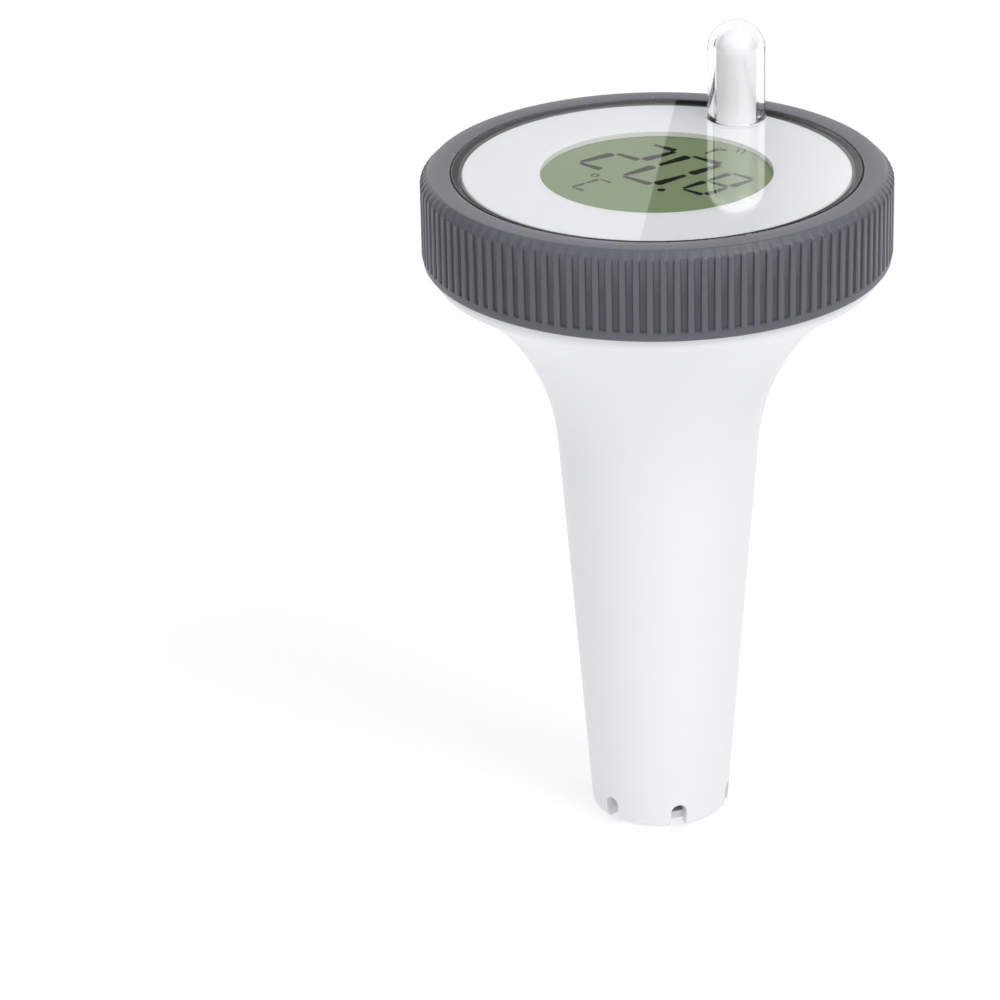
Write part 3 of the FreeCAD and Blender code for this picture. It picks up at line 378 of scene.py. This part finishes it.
def display_finish(colours):
    """Grey-green reflective film seen through its polariser, with a fine sparkle."""
    finish = Finish("display film", colours.display_green, 0.38)
    finish.shader.inputs["Specular IOR Level"].default_value = 0.1
    grain = finish.noise(0.12 * MM, 1.0)
    cloud = finish.noise(12 * MM, 2.0)
    base = finish.blend(grain, shade(colours.display_green, 0.97), shade(colours.display_green, 1.03))
    finish.set("Base Color", finish.blend(cloud * 0.4, base, shade(colours.display_green, 1.05)))
    finish.set("Roughness", 0.36 + 0.06 * grain)
    return finish.material


def segment_finish(colours):
    """Near-black of a display bar, with no gloss of its own."""
    finish = Finish("display bars", colours.segment_black, 0.5)
    finish.shader.inputs["Specular IOR Level"].default_value = 0.0
    edge = finish.noise(0.3 * MM, 1.0)
    finish.set("Base Color", finish.blend(edge, colours.segment_black, shade(colours.segment_black, 1.6)))
    return finish.material


def rubber_finish(name, colour, roughness=0.62):
    """Moulded rubber with a bloomed, dusty skin."""
    finish = Finish(name, colour, roughness)
    bloom = finish.noise(2.5 * MM, 4.0)
    finish.set("Base Color", finish.blend(bloom, colour, shade(colour, 1.5)))
    finish.set("Roughness", roughness - 0.05 + 0.14 * bloom)
    finish.relief(finish.noise(0.2 * MM, 2.0), 0.01 * MM)
    return finish.material


def plastic_finish(name, colour, roughness=0.45):
    """Plain inside moulding with a matt grain and drag marks along the draw."""
    finish = Finish(name, colour, roughness)
    drag = finish.noise(0.8 * MM, 2.0, stretch=(1, 1, 14))
    finish.set("Base Color", finish.blend(finish.noise(8 * MM, 3.0), colour, shade(colour, 0.93)))
    finish.set("Roughness", roughness - 0.04 + 0.10 * drag)
    finish.relief(drag, 0.008 * MM)
    return finish.material


def steel_finish(name, colour, roughness):
    """Metal with fine level lines round it."""
    finish = Finish(name, colour, roughness, metallic=1.0)
    lines = finish.noise(0.12 * MM, 2.0, stretch=(14, 14, 1))
    finish.set("Base Color", finish.blend(lines, colour, shade(colour, 0.82)))
    finish.set("Roughness", roughness - 0.06 + 0.16 * lines)
    finish.relief(lines, 0.004 * MM)
    return finish.material


def iron_finish():
    """Cast weight under a thin grey primer, with pits."""
    colour = (0.16, 0.165, 0.17)
    finish = Finish("primed iron", colour, 0.6, metallic=0.3)
    pits = finish.cells(1.6 * MM).above(0.18, 0.25)
    finish.set("Base Color", finish.blend(pits, shade(colour, 0.5), colour))
    finish.relief(pits * 0.6 + finish.noise(0.5 * MM, 3.0) * 0.4, 0.08 * MM)
    return finish.material


def board_finish():
    """Green solder mask over copper tracks that run both ways."""
    mask = (0.012, 0.095, 0.045)
    finish = Finish("board green", mask, 0.35, coat=0.3)
    x, y, _ = finish.axes()
    tracks = x.wave(2.54 * MM).above(0.80, 0.06) * finish.noise(9 * MM, 0.0).above(0.48, 0.02)
    cross = y.wave(2.54 * MM).above(0.80, 0.06) * finish.noise(9 * MM, 0.0, offset=3.7).above(0.52, 0.02)
    copper = tracks + cross
    finish.set("Base Color", finish.blend(copper, mask, (0.03, 0.20, 0.07)))
    finish.relief(copper, 0.03 * MM)
    return finish.material


def epoxy_finish():
    """Glossy black drop of potting resin."""
    colour = (0.012, 0.012, 0.013)
    finish = Finish("chip epoxy", colour, 0.18, coat=0.4)
    finish.set("Base Color", finish.blend(finish.noise(1.5 * MM, 3.0), colour, shade(colour, 2.0)))
    finish.relief(finish.noise(2.0 * MM, 1.0), 0.06 * MM)
    return finish.material


def cell_finish():
    """Plain two-tone sleeve: dark body with a bare metal shoulder at each end."""
    low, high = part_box("cell_left")
    sleeve, metal = (0.03, 0.045, 0.075), (0.62, 0.62, 0.60)
    finish = Finish("cell sleeve", sleeve, 0.3, coat=0.4)
    _, _, z = finish.axes()
    ends = z.above(high.z - 3.0 * MM, 0.1 * MM) + (1 - z.above(low.z + 1.2 * MM, 0.1 * MM))
    finish.set("Base Color", finish.blend(ends, sleeve, metal))
    finish.set("Metallic", ends * 0.9)
    finish.set("Roughness", 0.26 + 0.08 * finish.noise(1.2 * MM, 3.0))
    return finish.material


def strip_finish():
    """Rubber connector: thin dark carbon layers in a pale silicone."""
    silicone, carbon = (0.55, 0.28, 0.27), (0.02, 0.02, 0.022)
    finish = Finish("striped rubber", silicone, 0.55)
    x, _, _ = finish.axes()
    finish.set("Base Color", finish.blend(x.wave(0.4 * MM).above(0.45, 0.1), silicone, carbon))
    finish.relief(x.wave(0.4 * MM), 0.01 * MM)
    return finish.material


def floor_finish(colours, s):
    """Pale seamless sheet, lit a little from below."""
    finish = Finish("studio paper", colours.floor_white, 0.85)
    finish.set("Emission Color", (1.0, 1.0, 1.0, 1.0))
    finish.set("Emission Strength", s.floor_glow)
    tooth = finish.noise(1.2 * MM, 2.0)
    finish.set("Base Color", finish.blend(tooth, colours.floor_white, shade(colours.floor_white, 0.99)))
    return finish.material


def hidden_finishes():
    """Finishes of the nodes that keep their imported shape, by node."""
    nickel = steel_finish("nickel plate", (0.72, 0.71, 0.67), 0.22)
    zinc = steel_finish("zinc plate", (0.60, 0.61, 0.63), 0.34)
    black = plastic_finish("black moulding", (0.018, 0.018, 0.020), 0.4)
    unit = plastic_finish("unit moulding", (0.72, 0.73, 0.74), 0.42)
    gasket = rubber_finish("gasket rubber", (0.05, 0.05, 0.055), 0.5)
    green = board_finish()
    cell = cell_finish()
    glass = clear_finish("display glass", (0.93, 0.97, 0.95))
    film = plastic_finish("reflector film", (0.50, 0.53, 0.46), 0.3)
    shared = {
        nickel: (
            "bridge_contact", "bridge_spring", "positive_contact", "negative_contact", "negative_spring",
            "radio_crystal", "channel_switch", "probe_nut",
        ),
        zinc: ("board_screws", "shell_screws", "ballast_screws"),
        black: ("lcd_frame", "units_switch", "switch_plunger", "channel_knob"),
        unit: ("back_shell", "battery_door", "lead_plug", "lead_socket"),
        gasket: ("cover_gasket", "probe_seal"),
        green: ("main_board", "radio_board"),
        cell: ("cell_left", "cell_right"),
        glass: ("lcd_front_glass", "lcd_rear_glass"),
        film: ("lcd_reflector",),
    }
    finishes = {node: finish for finish, nodes in shared.items() for node in nodes}
    finishes["units_button"] = rubber_finish("button rubber", (0.10, 0.10, 0.11))
    finishes["lcd_contact_strips"] = strip_finish()
    finishes["controller_chip"] = epoxy_finish()
    finishes["ballast"] = iron_finish()
    finishes["antenna_coil"] = steel_finish("enamelled copper", (0.55, 0.24, 0.10), 0.25)
    finishes["probe_tube"] = steel_finish("ground stainless", (0.63, 0.64, 0.65), 0.24)
    finishes["probe_sensor"] = epoxy_finish()
    finishes["probe_lead"] = rubber_finish("lead jacket", (0.03, 0.03, 0.033), 0.5)
    return finishes


# ---------------------------------------------------------------- mesh helpers
def finish_piece(name, bm, material, body, slot, *replaced):
    """Turn a bmesh into a shaded piece that rides on a body."""
    bmesh.ops.remove_doubles(bm, verts=bm.verts, dist=MERGE)
    bmesh.ops.recalc_face_normals(bm, faces=bm.faces)
    mesh = bpy.data.meshes.new(name)
    bm.to_mesh(mesh)
    bm.free()
    mesh.shade_smooth()
    mesh.set_sharp_from_angle(angle=SHARP)
    mesh.materials.append(material)
    piece = bpy.data.objects.new(name, mesh)
    bpy.context.scene.collection.objects.link(piece)
    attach(piece, body)
    if replaced:
        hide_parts(*replaced)


def assign(node, material):
    """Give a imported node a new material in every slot."""
    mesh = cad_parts[node].data
    for index in range(len(mesh.materials)):
        mesh.materials[index] = material


def closed_outline(bm, points):
    """Closed loop of edges in the XZ plane through (radius, z) points."""
    verts = [bm.verts.new((r, 0, z)) for r, z in points]
    return verts + [bm.edges.new(pair) for pair in zip(verts, verts[1:] + verts[:1])]


def rounded_corner(centre, radius, start, end, steps=4):
    """(radius, z) points of a round corner about a centre, between two angles in degrees."""
    angles = [math.radians(start + (end - start) * k / steps) for k in range(steps + 1)]
    return [(centre[0] + radius * math.cos(a), centre[1] + radius * math.sin(a)) for a in angles]


def verts_of(geometry):
    """The verts among what a bmesh operator gave back."""
    return [g for g in geometry if isinstance(g, bmesh.types.BMVert)]


# ---------------------------------------------------------------- lock ring
GRIP_WALL = 2 * MM  # a vert further out than this from the bore is on the ring's outside


def ring_outside(s):
    """(radius, z) points from the lip's inner edge out over the shoulder and down to the foot."""
    top, foot = RING_HIGH.z, RING_LOW.z
    crest, smooth = RING_HIGH.x, RING_HIGH.x - s.draft
    shoulder, groove_end = top - s.shoulder, foot + s.groove_end
    outer, large = s.outer_round, s.shoulder_round
    points = rounded_corner((s.lip_inner + s.lip_edge, top - s.lip_edge), s.lip_edge, 180, 90)
    points += rounded_corner((s.lip_outer - 0.2 * MM, top - outer), outer, 90, 45, 3)
    points += rounded_corner((crest - large, shoulder - 0.5 * MM), large, 45, 2)
    points += [(crest - 0.02 * MM, groove_end + 0.35 * MM), (crest - 0.02 * MM, groove_end)]
    points += [(smooth + 0.05 * MM, groove_end - 0.12 * MM)]
    points += rounded_corner((smooth - outer, foot + outer), outer, 0, -90)
    return points


def ring_inside(s):
    """(radius, z) points up the bore, over the bead that carries the cover, to under the lip."""
    foot, seat, lip_under = RING_LOW.z, COVER_SEAT_Z, RING_HIGH.z - s.lip_thickness
    points = rounded_corner((s.bore + s.lip_edge, foot + s.lip_edge), s.lip_edge, -90, -180)
    points += [(s.bore, seat - 1.2 * MM), (s.bead, seat - 0.8 * MM), (s.bead, seat - 0.2 * MM)]
    points += [(s.pocket, seat - 0.1 * MM), (s.pocket, lip_under), (s.lip_inner, lip_under)]
    return points


def flat_radius(vert):
    """Distance of a vert from the stem's axis."""
    return Vector((vert.co.x, vert.co.y)).length


def set_radius(vert, radius):
    """Move a vert level with itself to a new distance from the stem's axis."""
    share = radius / flat_radius(vert)
    vert.co.x *= share
    vert.co.y *= share


def height_key(z):
    """A height in tenths of a micron, by which a vert finds its place on the outline."""
    return round(z / MM, 4)


def sink_grooves(verts, plain, s, change):
    """Move the grip band's verts inwards by a change of depth, no deeper than the grooves' floor.

    plain gives the radius that the outline has at each height before any groove is sunk.
    """
    floor = RING_HIGH.x - s.rib_depth
    for vert in verts:
        in_band = vert.co.z > RING_LOW.z + s.groove_end + 0.1 * MM
        if in_band and flat_radius(vert) > s.bore + GRIP_WALL:
            sunk = change * max(0.0, plain[height_key(vert.co.z)] - floor)
            set_radius(vert, flat_radius(vert) - sunk)


def rib_steps(s):
    """(share of the pitch, share of the groove's depth) from one groove's middle to the next."""
    wall = 0.10
    near = 0.5 - s.crest_share / 2
    rise = [(near - wall, 1.0), (near - 0.7 * wall, 0.9), (near - 0.25 * wall, 0.12), (near, 0.0)]
    fall = [(1 - share, depth) for share, depth in reversed(rise)]
    return rise + fall + [(1.0, 1.0)]


def grip_ring(bm, s):
    """Spin one rib's pitch step by step, then repeat it round the ring."""
    pitch = TURN / s.ribs
    outline = ring_outside(s) + ring_inside(s)
    plain = {height_key(z): r for r, z in outline if r > s.bore + GRIP_WALL}
    band = closed_outline(bm, outline)
    sink_grooves(verts_of(band), plain, s, 1.0)
    share, depth = 0.0, 1.0
    for next_share, next_depth in rib_steps(s):
        turn = (next_share - share) * pitch
        band = bmesh.ops.spin(
            bm, geom=band, axis=UP, cent=ORIGIN, angle=turn, steps=1, use_merge=False, dvec=ORIGIN
        )["geom_last"]
        sink_grooves(verts_of(band), plain, s, next_depth - depth)
        share, depth = next_share, next_depth
    one_pitch = bm.verts[:] + bm.edges[:] + bm.faces[:]
    bmesh.ops.spin(
        bm, geom=one_pitch, axis=UP, cent=ORIGIN, angle=TURN - pitch, steps=s.ribs - 1,
        use_duplicate=True, use_merge=False, dvec=ORIGIN,
    )


def thread_ridge(bm, s, phase):
    """One start of a thread standing inwards from the bore, its ends run out into the wall."""
    wall, depth, lead, turns = s.bore, s.thread_depth, s.thread_lead, s.thread_turns
    z_start = RING_LOW.z + s.thread_start
    steps = int(72 * turns)
    root, crest, embed = 0.8 * MM, 0.35 * MM, 0.2 * MM  # half widths, and how far it is set in
    section = [(wall + embed, -root), (wall - depth, -crest), (wall - depth, crest), (wall + embed, root)]
    loop = closed_outline(bm, [(r, z_start + z) for r, z in section])
    bmesh.ops.rotate(bm, verts=verts_of(loop), cent=ORIGIN, matrix=Matrix.Rotation(phase, 3, "Z"))
    before = set(bm.verts) - set(verts_of(loop))
    spun = bmesh.ops.spin(
        bm, geom=loop, axis=UP, cent=ORIGIN, angle=TURN * turns, steps=steps, use_merge=False,
        dvec=(0, 0, lead * turns / steps),
    )["geom_last"]
    for end in (loop, spun):
        bmesh.ops.contextual_create(bm, geom=[g for g in end if isinstance(g, bmesh.types.BMEdge)])
    run_out = lead * turns * 0.08
    for vert in set(bm.verts) - before:
        if flat_radius(vert) < wall:
            travel = vert.co.z - z_start
            share = min(travel + crest, lead * turns - travel + crest) / run_out
            set_radius(vert, wall + embed / 2 - (depth + embed / 2) * min(1.0, max(0.0, share)))


class POOL_OT_lock_ring(bpy.types.Operator):
    """Make the ribbed lock ring with its inside thread"""

    bl_idname = "pool.lock_ring"
    bl_label = "Lock ring"

    def execute(self, context):
        s = context.scene.pool_ring
        bm = bmesh.new()
        grip_ring(bm, s)
        for phase in (0.0, math.pi):
            thread_ridge(bm, s, phase)
        finish_piece(
            "ribbed_lock_ring", bm, ring_grey_finish(context.scene.pool_colours, s),
            "ring", "grey_ring", "lock_ring",
        )
        return {"FINISHED"}


# ---------------------------------------------------------------- display
BAR_POINT = 0.42  # length of a bar's pointed end over its width
BAR_GAP = 0.08  # gap left at each end of a bar, over its width


def bar(bm, start, end, width, z, thickness):
    """Flat six-cornered bar between two points, pointed at both ends."""
    axis = end - start
    turn = Matrix.Rotation(math.atan2(axis.y, axis.x), 4, "Z")
    disc = bmesh.ops.create_circle(bm, cap_ends=True, segments=6, radius=1.0)["verts"]
    shoulder = math.sin(math.radians(60))
    for vert in disc:
        side = vert.co.y / shoulder
        reach = axis.length / 2 - abs(side) * width * BAR_POINT
        vert.co = Vector((math.copysign(reach, vert.co.x), side * width / 2, 0))
    bmesh.ops.transform(bm, matrix=turn, verts=disc)
    middle = (start + end) / 2
    bmesh.ops.translate(bm, verts=disc, vec=(middle.x, middle.y, z))
    thicken(bm, disc, thickness)


def thicken(bm, verts, thickness):
    """Raise a flat face into a closed prism."""
    faces = list({face for vert in verts for face in vert.link_faces})
    raised = bmesh.ops.extrude_face_region(bm, geom=faces, use_keep_orig=True)["geom"]
    bmesh.ops.translate(bm, verts=verts_of(raised), vec=(0, 0, thickness))


SEGMENTS = {
    "top": ((0, 1), (1, 1)),
    "upper_right": ((1, 1), (1, 0.5)),
    "lower_right": ((1, 0.5), (1, 0)),
    "foot": ((0, 0), (1, 0)),
    "lower_left": ((0, 0), (0, 0.5)),
    "upper_left": ((0, 0.5), (0, 1)),
    "middle": ((0, 0.5), (1, 0.5)),
}
NUMERALS = {
    "2": ("top", "upper_right", "middle", "lower_left", "foot"),
    "0": ("top", "upper_right", "lower_right", "foot", "lower_left", "upper_left"),
    "8": tuple(SEGMENTS),
    "C": ("top", "upper_left", "lower_left", "foot"),
}


class DisplayMarks:
    """Places marks on the display: u runs along the reading and v up it, from the display's centre."""

    def __init__(self, bm, sizes):
        self.bm = bm
        self.sizes = sizes
        self.z = FILM_HIGH.z
        self.along = Vector((math.cos(sizes.reading_angle), math.sin(sizes.reading_angle)))
        self.up = Vector((-self.along.y, self.along.x))

    def at(self, u, v):
        return self.along * u + self.up * v

    def numeral(self, which, u, v, width, height, bar_width, slant):
        """Seven-bar numeral with its lower left corner at u, v, leaning by slant degrees."""
        lean = math.tan(math.radians(slant))
        level_width = bar_width * self.sizes.level_share

        def corner(x, y):
            """Place of a corner that is x and y of the way across and up the numeral."""
            rise = level_width / 2 + y * (height - level_width)
            return self.at(u + bar_width / 2 + x * (width - bar_width) + rise * lean, v + rise)

        for name in NUMERALS[which]:
            first, last = (corner(*end) for end in SEGMENTS[name])
            shrink = (last - first).normalized() * BAR_GAP * bar_width
            is_level = SEGMENTS[name][0][1] == SEGMENTS[name][1][1]
            bar(
                self.bm, first + shrink, last - shrink, level_width if is_level else bar_width,
                self.z, self.sizes.thickness,
            )

    def dot(self, u, v, radius):
        """Round decimal point."""
        place = self.at(u, v)
        disc = bmesh.ops.create_circle(self.bm, cap_ends=True, segments=20, radius=radius)["verts"]
        bmesh.ops.translate(self.bm, verts=disc, vec=(place.x, place.y, self.z))
        thicken(self.bm, disc, self.sizes.thickness)

    def ring(self, u, v, radius, width, start=0.0, sweep=TURN):
        """Flat ring, or part of one, drawn by spinning a short line."""
        place = self.at(u, v)
        full = sweep > TURN - 0.01
        ends = [self.bm.verts.new((radius + side * width / 2, 0, 0)) for side in (-1, 1)]
        line = ends + [self.bm.edges.new(ends)]
        before = set(self.bm.faces)
        bmesh.ops.rotate(self.bm, verts=ends, cent=ORIGIN, matrix=Matrix.Rotation(start, 3, "Z"))
        bmesh.ops.spin(
            self.bm, geom=line, axis=UP, cent=ORIGIN, angle=sweep, steps=16, use_merge=full, dvec=ORIGIN
        )
        verts = list({vert for face in set(self.bm.faces) - before for vert in face.verts})
        bmesh.ops.translate(self.bm, verts=verts, vec=(place.x, place.y, self.z))
        thicken(self.bm, verts, self.sizes.thickness)


def draw_reading(marks):
    """20.8 with a degree sign and a C."""
    s = marks.sizes
    marks.numeral("2", -20.7 * MM, -5.0 * MM, 9.6 * MM, s.digit_height, s.bar, 15)
    marks.numeral("0", -7.5 * MM, -5.4 * MM, 11.2 * MM, s.digit_height, s.bar, 11)
    marks.dot(6.3 * MM, -5.9 * MM, radius=0.95 * MM)
    marks.numeral("8", 8.4 * MM, -3.2 * MM, 8.0 * MM, s.small_height, s.small_bar, 9)
    marks.ring(-11.1 * MM, -8.0 * MM, radius=0.8 * MM, width=0.4 * MM)
    marks.numeral("C", -10.7 * MM, -17.2 * MM, 4.5 * MM, s.unit_height, s.unit_bar, 11)


def draw_mast(marks):
    """Small mast with its arm and two waves, for the radio."""
    foot, head, arm = (marks.at(u * MM, v * MM) for u, v in ((-0.9, 17.8), (-0.7, 22.5), (1.8, 22.6)))
    bar(marks.bm, foot, head, 1.3 * MM, marks.z, marks.sizes.thickness)
    bar(marks.bm, head, arm, 1.1 * MM, marks.z, marks.sizes.thickness)
    facing = math.atan2(marks.along.y, marks.along.x)
    for radius in (3.6 * MM, 5.0 * MM):
        marks.ring(0.4 * MM, 22.6 * MM, radius, 0.45 * MM, start=facing + 0.1, sweep=math.radians(42))


def film_blank(s):
    """The film as a flat box whose upright corners are cut off."""
    bm = bmesh.new()
    size = FILM_HIGH - FILM_LOW
    verts = bmesh.ops.create_cube(bm, size=1.0)["verts"]
    bmesh.ops.scale(bm, verts=verts, vec=size)
    bmesh.ops.translate(bm, verts=verts, vec=(0, 0, (FILM_HIGH.z + FILM_LOW.z) / 2))
    upright = [e for e in bm.edges if abs(e.verts[0].co.z - e.verts[1].co.z) > size.z / 2]
    bmesh.ops.bevel(
        bm, geom=upright, offset=s.film_corner, segments=1, profile=0.5, affect="EDGES", material=-1
    )
    return bm


class POOL_OT_display(bpy.types.Operator):
    """Make the display's film and what it shows"""

    bl_idname = "pool.display"
    bl_label = "Display"

    def execute(self, context):
        sizes, colours = context.scene.pool_display, context.scene.pool_colours
        finish_piece(
            "display_film", film_blank(sizes), display_finish(colours),
            "float", "display_film", "lcd_front_polariser",
        )
        bm = bmesh.new()
        marks = DisplayMarks(bm, sizes)
        draw_reading(marks)
        draw_mast(marks)
        finish_piece("display_bars", bm, segment_finish(colours), "float", "display_film")
        return {"FINISHED"}


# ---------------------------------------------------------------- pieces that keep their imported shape
class POOL_OT_float_shell(bpy.types.Operator):
    """Finish the float and the guard in its foot"""

    bl_idname = "pool.float_shell"
    bl_label = "Float"

    def execute(self, context):
        white = float_white_finish(context.scene.pool_colours)
        assign("float_shell", white)
        assign("probe_guard", white)
        return {"FINISHED"}


class POOL_OT_cover(bpy.types.Operator):
    """Finish the clear cover"""

    bl_idname = "pool.cover"
    bl_label = "Clear cover"

    def execute(self, context):
        assign("clear_cover", clear_finish("clear cover"))
        return {"FINISHED"}


class POOL_OT_face(bpy.types.Operator):
    """Finish the face plate and the antenna's sleeve"""

    bl_idname = "pool.face"
    bl_label = "Face plate"

    def execute(self, context):
        assign("face_plate", plate_white_finish(context.scene.pool_colours))
        assign("antenna_sleeve", sleeve_white_finish(context.scene.pool_colours))
        return {"FINISHED"}


class POOL_OT_inside(bpy.types.Operator):
    """Finish the pieces inside the float"""

    bl_idname = "pool.inside"
    bl_label = "Inside pieces"

    def execute(self, context):
        for node, material in hidden_finishes().items():
            assign(node, material)
        return {"FINISHED"}


# ---------------------------------------------------------------- studio
def area_light(name, place, size, power):
    """Soft rectangular light that faces the stem."""
    lamp = bpy.data.lights.new(name, "AREA")
    lamp.shape = "RECTANGLE"
    lamp.size, lamp.size_y = size
    lamp.energy = power
    light = bpy.data.objects.new(name, lamp)
    light.location = place
    light.rotation_euler = (LIGHT_TARGET - light.location).to_track_quat("-Z", "Y").to_euler()
    bpy.context.scene.collection.objects.link(light)


def studio_camera(s):
    """Camera in front of the float and above it."""
    data = bpy.data.cameras.new("studio camera")
    data.lens = s.lens
    data.sensor_width = 36.0
    camera = bpy.data.objects.new("studio camera", data)
    camera.location = CAMERA_PLACE
    look = (CAMERA_TARGET - CAMERA_PLACE).to_track_quat("-Z", "Y").to_matrix()
    camera.rotation_euler = (look @ Matrix.Rotation(s.roll, 3, "Z")).to_euler()
    bpy.context.scene.collection.objects.link(camera)
    bpy.context.scene.camera = camera


def studio_sky(s):
    """Even white all round."""
    world = bpy.data.worlds.new("studio white")
    world.use_nodes = True
    background = world.node_tree.nodes["Background"]
    background.inputs["Color"].default_value = (1, 1, 1, 1)
    background.inputs["Strength"].default_value = s.sky
    bpy.context.scene.world = world


def card(name, corners, colour, glow=0.0, fade=None):
    """Flat card through its corners, seen in reflections but not by the camera.

    fade, if given, is where along X the card's glow starts to change, over what width and to what.
    """
    bm = bmesh.new()
    bmesh.ops.contextual_create(bm, geom=[bm.verts.new(corner) for corner in corners])
    mesh = bpy.data.meshes.new(name)
    bm.to_mesh(mesh)
    bm.free()
    finish = Finish(name, colour, 0.9)
    finish.set("Emission Strength", 1.0)
    finish.set("Emission Color", (glow, glow, glow, 1.0))
    if fade:
        start, width, level = fade
        x, _, _ = finish.axes()
        finish.set("Emission Color", finish.blend(x.above(start, width), (glow,) * 3, (level,) * 3))
    mesh.materials.append(finish.material)
    board = bpy.data.objects.new(name, mesh)
    board.visible_camera = False
    bpy.context.scene.collection.objects.link(board)


def mirrored_cards(s):
    """Two cards that meet in a slanting edge, where the clear cover mirrors them to the front."""
    y, low, high = 2.5, 0.99, 1.19
    left, right = -0.19, 0.20
    edge_low, edge_high = (0.016, y, low), (-0.034, y, high)
    pale = [(left, y, low), edge_low, edge_high, (left, y, high)]
    dark = [edge_low, (right, y, low), (right, y, high), edge_high]
    card("card_pale", pale, (0.2, 0.2, 0.2), s.card_glow)
    card("card_dark", dark, (0.004, 0.004, 0.004), fade=(0.07, 0.11, s.sky))


def side_flag(name, x, half_width, top):
    """Dark upright card that shades one side of the stem."""
    foot = 0.02
    corners = [(x, -half_width, foot), (x, half_width, foot), (x, half_width, top), (x, -half_width, top)]
    card(name, corners, (0.02, 0.02, 0.02))


def studio_floor(s, colours):
    """Large flat floor under the float."""
    bm = bmesh.new()
    bmesh.ops.create_grid(bm, x_segments=4, y_segments=4, size=s.floor_size / 2)
    mesh = bpy.data.meshes.new("studio_floor")
    bm.to_mesh(mesh)
    bm.free()
    mesh.materials.append(floor_finish(colours, s))
    floor = bpy.data.objects.new("studio_floor", mesh)
    bpy.context.scene.collection.objects.link(floor)


class POOL_OT_studio(bpy.types.Operator):
    """Make the camera, the lights and the floor"""

    bl_idname = "pool.studio"
    bl_label = "Studio"

    def execute(self, context):
        scene = context.scene
        s = scene.pool_studio
        scene.view_settings.view_transform = "Standard"
        studio_camera(s)
        studio_sky(s)
        studio_floor(s, scene.pool_colours)
        mirrored_cards(s)
        side_flag("flag_left", -1.35, half_width=1.15, top=1.4)
        side_flag("flag_right", 1.45, half_width=0.8, top=1.1)
        area_light("key", (0.9, -0.7, 1.3), (0.9, 0.9), s.key_power)
        area_light("fill", (-1.2, -0.5, 0.7), (0.8, 1.0), s.fill_power)
        return {"FINISHED"}


class POOL_PT_panel(bpy.types.Panel):
    """Lists the thermometer's pieces and sizes"""

    bl_label = "Pool thermometer"
    bl_idname = "POOL_PT_panel"
    bl_space_type = "VIEW_3D"
    bl_region_type = "UI"
    bl_category = "Pool thermometer"

    def draw(self, context):
        for operator in OPERATORS:
            self.layout.operator(operator.bl_idname)
        for name, group in GROUPS.items():
            box = self.layout.box()
            for key in group.__annotations__:
                box.prop(getattr(context.scene, name), key)


OPERATORS = (
    POOL_OT_studio,
    POOL_OT_float_shell,
    POOL_OT_lock_ring,
    POOL_OT_cover,
    POOL_OT_face,
    POOL_OT_display,
    POOL_OT_inside,
)


def register():
    for group in (*GROUPS.values(), *OPERATORS, POOL_PT_panel):
        bpy.utils.register_class(group)
    for name, group in GROUPS.items():
        setattr(bpy.types.Scene, name, PointerProperty(type=group))


def unregister():
    for name in GROUPS:
        delattr(bpy.types.Scene, name)
    for group in reversed((*GROUPS.values(), *OPERATORS, POOL_PT_panel)):
        bpy.utils.unregister_class(group)


def main():
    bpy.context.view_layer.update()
    register()
    for operator in OPERATORS:
        section, name = operator.bl_idname.split(".")
        getattr(getattr(bpy.ops, section), name)()


if __name__ == "__main__":
    main()
